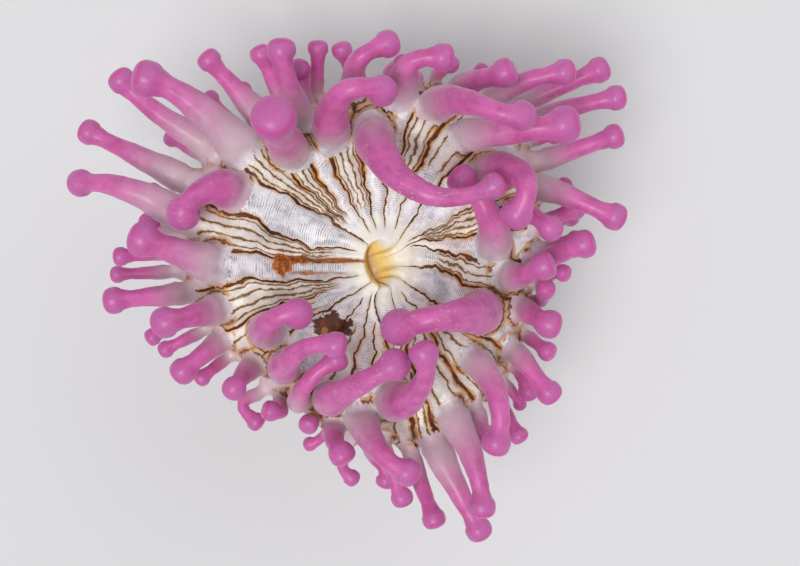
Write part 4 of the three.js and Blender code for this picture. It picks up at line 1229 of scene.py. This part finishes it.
# Gold, part the flesh's tint and part painted shade, lines the crevices between the tentacles'
# roots, with a thin brown line of painted shade at each join.
root_inner = rise_between(tree, reach, 54.0, 42.0)
by_root = calc(tree, "MULTIPLY", crevice_shade, rise_between(tree, from_root, 2.8, 0.5))
frayed = calc(tree, "MULTIPLY_ADD", ragged, 0.5, by_root)
crevice_gold_shade = calc(tree, "MULTIPLY", rise_between(tree, frayed, 0.15, 0.65, 0.0, 0.75), root_inner)
wandering = calc(tree, "MULTIPLY_ADD", ragged, 1.6, from_root)
root_shade_line = calc(tree, "MULTIPLY", rise_between(tree, wandering, 0.65, 0.3, 0.0, 0.85), root_inner)
root_shade_line = calc(tree, "MULTIPLY", root_shade_line, rise_between(tree, crevice_shade, 0.5, 0.85))
colour = blend_colours(tree, crevice_gold_shade, colour, ROOT_GOLD_AND_SHADE)
colour = blend_colours(tree, root_shade_line, colour, core_colour)
colour = blend_colours(tree, core, colour, core_colour)

# Lips: cream pads, pearly where they bulge most, gold in the pit, with painted shade: amber in
# its folds and its deepest part, brown at the closed slit.
lip_cream = rise_between(tree, calc(tree, "MULTIPLY_ADD", ragged, 3.0, reach), 6.0, -0.5, 0.0, 0.9)
lip_gold = rise_between(tree, calc(tree, "MULTIPLY_ADD", ragged, 5.0, reach), -1.0, -5.5)
lip_colour = blend_colours(tree, lip_gold, LIP_CREAM, LIP_GOLD)
for middle in PEARLS:
    apart = add_node(tree, "ShaderNodeVectorMath", place, (*middle, DISC_LEVEL), operation="DISTANCE")
    pearly = rise_between(tree, apart.outputs["Value"], 4.2, 1.0, 0.0, 0.85)
    lip_colour = blend_colours(tree, pearly, lip_colour, LIP_PEARL)
fold_shade = calc(tree, "MULTIPLY", rise_between(tree, crease, 0.25, 1.0), rise_between(tree, reach, 1.0, -4.0))
pit_shade = rise_between(tree, calc(tree, "MULTIPLY_ADD", ragged, 3.0, reach), -4.8, -9.0, 0.0, 0.75)
lip_colour = blend_colours(tree, calc(tree, "MULTIPLY", fold_shade, 0.65), lip_colour, LIP_SHADE_AMBER)
lip_colour = blend_colours(tree, pit_shade, lip_colour, LIP_SHADE_AMBER)
slit_shade = rise_between(tree, calc(tree, "MULTIPLY_ADD", ragged, 3.0, reach), -6.6, -9.4, 0.0, 0.5)
lip_colour = blend_colours(tree, slit_shade, lip_colour, SLIT_SHADE_BROWN)
colour = blend_colours(tree, lip_cream, colour, lip_colour)
core = calc(tree, "MULTIPLY", core, rise_between(tree, reach, -3.5, 1.0))
colour = blend_colours(tree, core, colour, core_colour)

# Two stains: an orange one that runs down its furrow to the mouth, and a dark crust.
rust_mix = rise_between(tree, mottle(tree, place, 0.8, 3.0, 0.6), 0.4, 0.6)
rust_colour = blend_colours(tree, rust_mix, RUST_DARK, RUST)
for spot in RUST_SPOTS:
    colour = blend_colours(tree, near_spot(tree, place, *spot), colour, rust_colour)
worn = rise_between(tree, mottle(tree, place, 0.4, 3.0, 0.6), 0.5, 0.65)
crust_colour = blend_colours(tree, worn, BROWN_CRUST, CRUST_WORN)
crust_spot = near_spot(tree, place, CRUST_SPOT, 3.5, 6.5, (0.68, 1, 0.4))
colour = blend_colours(tree, crust_spot, colour, crust_colour)
crust_middle = near_spot(tree, place, CRUST_MIDDLE_SPOT, 1.0, 3.6)
colour = blend_colours(tree, calc(tree, "MULTIPLY", crust_middle, 0.85), colour, CRUST_MIDDLE)

relief = calc(tree, "MULTIPLY", stripe, -0.08)
relief = calc(tree, "MULTIPLY_ADD", core, -0.35, relief)
relief = calc(tree, "MULTIPLY_ADD", line, -0.30, relief)
relief = calc(tree, "MULTIPLY_ADD", root_shade_line, -0.30, relief)
relief = calc(tree, "MULTIPLY_ADD", mottle(tree, place, 1.4, 3.0, 0.6), 0.12, relief)
tree.links.new(colour, result["Colour"])
tree.links.new(relief, result["Relief"])


def flesh_shader(material, colour, relief, roughness, under_skin, coat, sheen):
    """A principled shader with light under its skin, a bump, a thin wet coat and a soft edge.

    under_skin is the share of the light that goes in, and how far it spreads in millimetres."""
    tree = material.node_tree
    bump = add_node(tree, "ShaderNodeBump")
    bump.inputs["Strength"].default_value = 0.8
    bump.inputs["Distance"].default_value = MM
    tree.links.new(relief, bump.inputs["Height"])
    shader = add_node(tree, "ShaderNodeBsdfPrincipled")
    tree.links.new(colour, shader.inputs["Base Color"])
    tree.links.new(bump.outputs[0], shader.inputs["Normal"])
    shader.inputs["Roughness"].default_value = roughness
    shader.inputs["Subsurface Weight"].default_value = under_skin[0]
    shader.inputs["Subsurface Radius"].default_value = (1.0, 0.4, 0.6)
    shader.inputs["Subsurface Scale"].default_value = under_skin[1] * MM
    shader.inputs["Coat Weight"].default_value = coat
    shader.inputs["Coat Roughness"].default_value = 0.2
    shader.inputs["Sheen Weight"].default_value = sheen
    shader.inputs["Sheen Roughness"].default_value = 0.35
    shader.inputs["Sheen Tint"].default_value = (1.0, 0.62, 0.85, 1)
    output = add_node(tree, "ShaderNodeOutputMaterial")
    tree.links.new(shader.outputs[0], output.inputs[0])
    return shader


def bare_tree(material):
    """The material's node tree, emptied."""
    material.use_nodes = True
    material.node_tree.nodes.clear()
    return material.node_tree


def place_group(tree, group, **values):
    """Puts a node group into a material with its own values."""
    made = add_node(tree, "ShaderNodeGroup", node_tree=group)
    for name, value in values.items():
        made.inputs[name].default_value = value
    return made.outputs


tree = bare_tree(crown_flesh)
markings_and_shade = place_group(tree, disc_markings_and_shade, Striation=1.0)
flesh_shader(crown_flesh, markings_and_shade["Colour"], markings_and_shade["Relief"], 0.5, (0.2, 1.2), 0.3, 0.0)


# ---------------------------------------------------------------------------------------
# The flesh of the tentacles: at the root it is the disc's own, then it clears and turns a
# strong pink, with lengthwise streaks of muscle, and the ball is lavender inside a redder
# rim, a painted glow of light through its translucent edge. Painted glints, small bright
# flecks of highlight, are scattered over some of them.

LIMB_CLEAR = paint(204, 184, 192)
LIMB_PINK = paint(222, 110, 184)
LIMB_DEEP = paint(184, 76, 142)
KNOB_PINK = paint(208, 94, 168)
KNOB_LAVENDER = paint(192, 110, 176)
# The ball's rim colour is a painted glow of light through its translucent edge.
KNOB_RIM_GLOW = paint(210, 58, 146)
# A painted highlight: the colour of small bright glints on wet skin.
GLINT_WHITE = paint(240, 206, 230)

tree = bare_tree(limb_flesh)
markings_and_shade = place_group(tree, disc_markings_and_shade, Striation=0.7)
place = millimetres(tree)
along, pale = map_pair(tree, "Limb")
_, around = map_pair(tree, "Mouth")
_, glint_amount = map_pair(tree, "Gold")

limb_noise = calc(tree, "SUBTRACT", mottle(tree, place, 0.35, 3.0, 0.55), 0.5)
shifted = calc(tree, "MULTIPLY_ADD", limb_noise, 0.2, along)
clear_share = rise_between(tree, shifted, 0.06, calc(tree, "MULTIPLY_ADD", pale, 0.6, 0.1), 0.0, 0.8)
pink_share = rise_between(tree, shifted, calc(tree, "MULTIPLY", pale, 0.4), calc(tree, "ADD", pale, 0.3))
turn = calc(tree, "MULTIPLY", around, 2 * math.pi)
across, aside = calc(tree, "COSINE", turn), calc(tree, "SINE", turn)
ring = add_node(tree, "ShaderNodeCombineXYZ", across, aside, along).outputs[0]
streaks = rise_between(tree, mottle(tree, ring, 2.4, 3.0, 0.55, stretch=(1, 1, 0.4)), 0.4, 0.7, 0.0, 0.2)
deep = rise_between(tree, mottle(tree, place, 0.22, 3.0, 0.6), 0.35, 0.7)
deep = calc(tree, "MULTIPLY_ADD", deep, 0.6, streaks)
pink = blend_colours(tree, deep, LIMB_PINK, LIMB_DEEP)
limb = blend_colours(tree, clear_share, markings_and_shade["Colour"], LIMB_CLEAR)
limb = blend_colours(tree, pink_share, limb, pink)

knob_mottle = rise_between(tree, mottle(tree, place, 0.9, 3.0, 0.6), 0.3, 0.7)
knob = blend_colours(tree, knob_mottle, KNOB_LAVENDER, KNOB_PINK)
# Painted light: a redder band round the ball's edge, standing for light through its translucent skin.
rim_glow = calc(tree, "MULTIPLY", rise_between(tree, along, 1.2, 1.5), rise_between(tree, along, 1.7, 1.56))
knob = blend_colours(tree, calc(tree, "MULTIPLY", rim_glow, 0.5), knob, KNOB_RIM_GLOW)
limb = blend_colours(tree, rise_between(tree, along, 0.86, 1.0), limb, knob)

# Painted highlights: small bright flecks of glint, in patches on the tentacles given most, with a little
# bump.
glint_flecks = rise_between(tree, mottle(tree, place, 0.8, 4.0, 0.8, stretch=(0.7, 1.2, 1)), 0.57, 0.63)
glint_patch = rise_between(tree, mottle(tree, place, 0.12, 2.0, 0.5), 0.44, 0.54)
glint_share = calc(tree, "MAXIMUM", calc(tree, "MULTIPLY", glint_patch, glint_amount), 0.12)
glint_flecks = calc(tree, "MULTIPLY", glint_flecks, glint_share)
limb = blend_colours(tree, calc(tree, "MULTIPLY", glint_flecks, 0.7), limb, GLINT_WHITE)
limb_relief = calc(tree, "MULTIPLY_ADD", glint_flecks, 0.20, markings_and_shade["Relief"])
flesh_shader(limb_flesh, limb, limb_relief, 0.5, (0.45, 2.0), 0.25, 0.3)


# ---------------------------------------------------------------------------------------
# The column's skin: pale above with upright streaks, then a thin, matt brown rind with grit
# in its wrinkles, and the foot's soft pinkish edge.

RIND_BROWN = paint(178, 138, 110)
RIND_DARK = paint(132, 94, 72)
RIND_GRIT = paint(210, 192, 168)
UPPER_STREAK = paint(200, 160, 178)
FOOT_PINK = paint(214, 172, 160)
FOOT_LINE = paint(184, 132, 126)

column_skin = bpy.data.materials.new("column_skin")
tree = bare_tree(column_skin)
place = millimetres(tree)
height = add_node(tree, "ShaderNodeSeparateXYZ", place).outputs[2]
frayed = calc(tree, "SUBTRACT", mottle(tree, place, 0.16, 4.0, 0.6), 0.5)
level = calc(tree, "MULTIPLY_ADD", frayed, 12.0, height)
streaks = mottle(tree, place, 0.7, 3.0, 0.6, stretch=(1, 1, 0.18))
blotches = mottle(tree, place, 0.3, 4.0, 0.65)
wrinkles = mottle(tree, place, 0.8, 4.0, 0.65, stretch=(0.45, 0.45, 1))
grit = rise_between(tree, mottle(tree, place, 1.7, 2.0, 0.5), 0.62, 0.70)
upper = blend_colours(tree, rise_between(tree, streaks, 0.4, 0.7), UPPER_PALE, UPPER_STREAK)
rind = blend_colours(tree, rise_between(tree, blotches, 0.36, 0.64), RIND_DARK, RIND_BROWN)
rind = blend_colours(tree, rise_between(tree, wrinkles, 0.5, 0.32, 0.0, 0.5), rind, RIND_DARK)
rind = blend_colours(tree, calc(tree, "MULTIPLY", grit, 0.7), rind, RIND_GRIT)
foot = blend_colours(tree, rise_between(tree, streaks, 0.45, 0.65), FOOT_PINK, FOOT_LINE)
on_rind = calc(tree, "MULTIPLY", rise_between(tree, level, 36, 27), rise_between(tree, level, 3.0, 10.0))
colour = blend_colours(tree, rise_between(tree, height, 14, 20), foot, upper)
colour = blend_colours(tree, on_rind, colour, rind)
roughened = calc(tree, "MULTIPLY_ADD", grit, 0.6, wrinkles)
relief = calc(tree, "MULTIPLY", roughened, calc(tree, "MULTIPLY_ADD", on_rind, 0.6, 0.15))
shader = flesh_shader(column_skin, colour, relief, 0.5, (0.1, 1.5), 0.0, 0.0)
tree.links.new(calc(tree, "MULTIPLY_ADD", on_rind, 0.35, 0.42), shader.inputs["Roughness"])

COLUMN_TOP = 44.2
COLUMN_RADIUS = 46  # both take in the column and leave out the hanging skin of the crown
middles = np.empty(len(whole.polygons) * 3)
whole.polygons.foreach_get("center", middles)
middles = middles.reshape(-1, 3) / MM
in_column = (middles[:, 2] < COLUMN_TOP) & (np.hypot(middles[:, 0], middles[:, 1]) < COLUMN_RADIUS)
on_column = in_column & (face_material == 0)
whole.materials.clear()
for material in (crown_flesh, limb_flesh, column_skin):
    whole.materials.append(material)
whole.polygons.foreach_set("material_index", np.where(on_column, 2, face_material).astype(np.int32))
whole.uv_layers["OFBake"].active_render = True
whole.uv_layers.active = whole.uv_layers["OFBake"]
whole.shade_smooth()
whole.update()

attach(skin, "root")
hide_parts(*frame["nodes"])


# ---------------------------------------------------------------------------------------
# The floor and the light: a plain pale floor, a soft sky and two soft distant lamps, a key
# leaning a little from overhead and a wider, fainter fill.

FLOOR_HALF = 12
floor_mesh = bpy.data.meshes.new("floor")
floor_corners = [(-FLOOR_HALF, -FLOOR_HALF, 0), (FLOOR_HALF, -FLOOR_HALF, 0)]
floor_corners += [(FLOOR_HALF, FLOOR_HALF, 0), (-FLOOR_HALF, FLOOR_HALF, 0)]
floor_mesh.from_pydata(floor_corners, [], [(0, 1, 2, 3)])
floor = bpy.data.objects.new("floor", floor_mesh)
bpy.context.scene.collection.objects.link(floor)
floor_paint = bpy.data.materials.new("floor_paint")
floor_paint.use_nodes = True
floor_paint.node_tree.nodes["Principled BSDF"].inputs["Base Color"].default_value = paint(226, 226, 228)
floor_paint.node_tree.nodes["Principled BSDF"].inputs["Roughness"].default_value = 0.8
floor_mesh.materials.append(floor_paint)

sky = bpy.data.worlds.new("sky")
sky.use_nodes = True
sky.node_tree.nodes["Background"].inputs["Color"].default_value = (1, 1, 1, 1)
sky.node_tree.nodes["Background"].inputs["Strength"].default_value = 0.34
bpy.context.scene.world = sky


def soft_sun(name, leaning, towards, spread, strength):
    """A lamp so far off that it lights the whole floor evenly, leaning from upright towards a
    bearing, and as wide across the sky as its spread."""
    lamp = bpy.data.lights.new(name, "SUN")
    lamp.angle = math.radians(spread)
    lamp.energy = strength
    holder = bpy.data.objects.new(name, lamp)
    holder.rotation_euler = (0, math.radians(leaning), math.radians(towards))
    bpy.context.scene.collection.objects.link(holder)


soft_sun("key", 20, 235, 28, 1.78)
soft_sun("fill", 50, 50, 60, 0.5)
bpy.context.scene.view_settings.view_transform = "Standard"
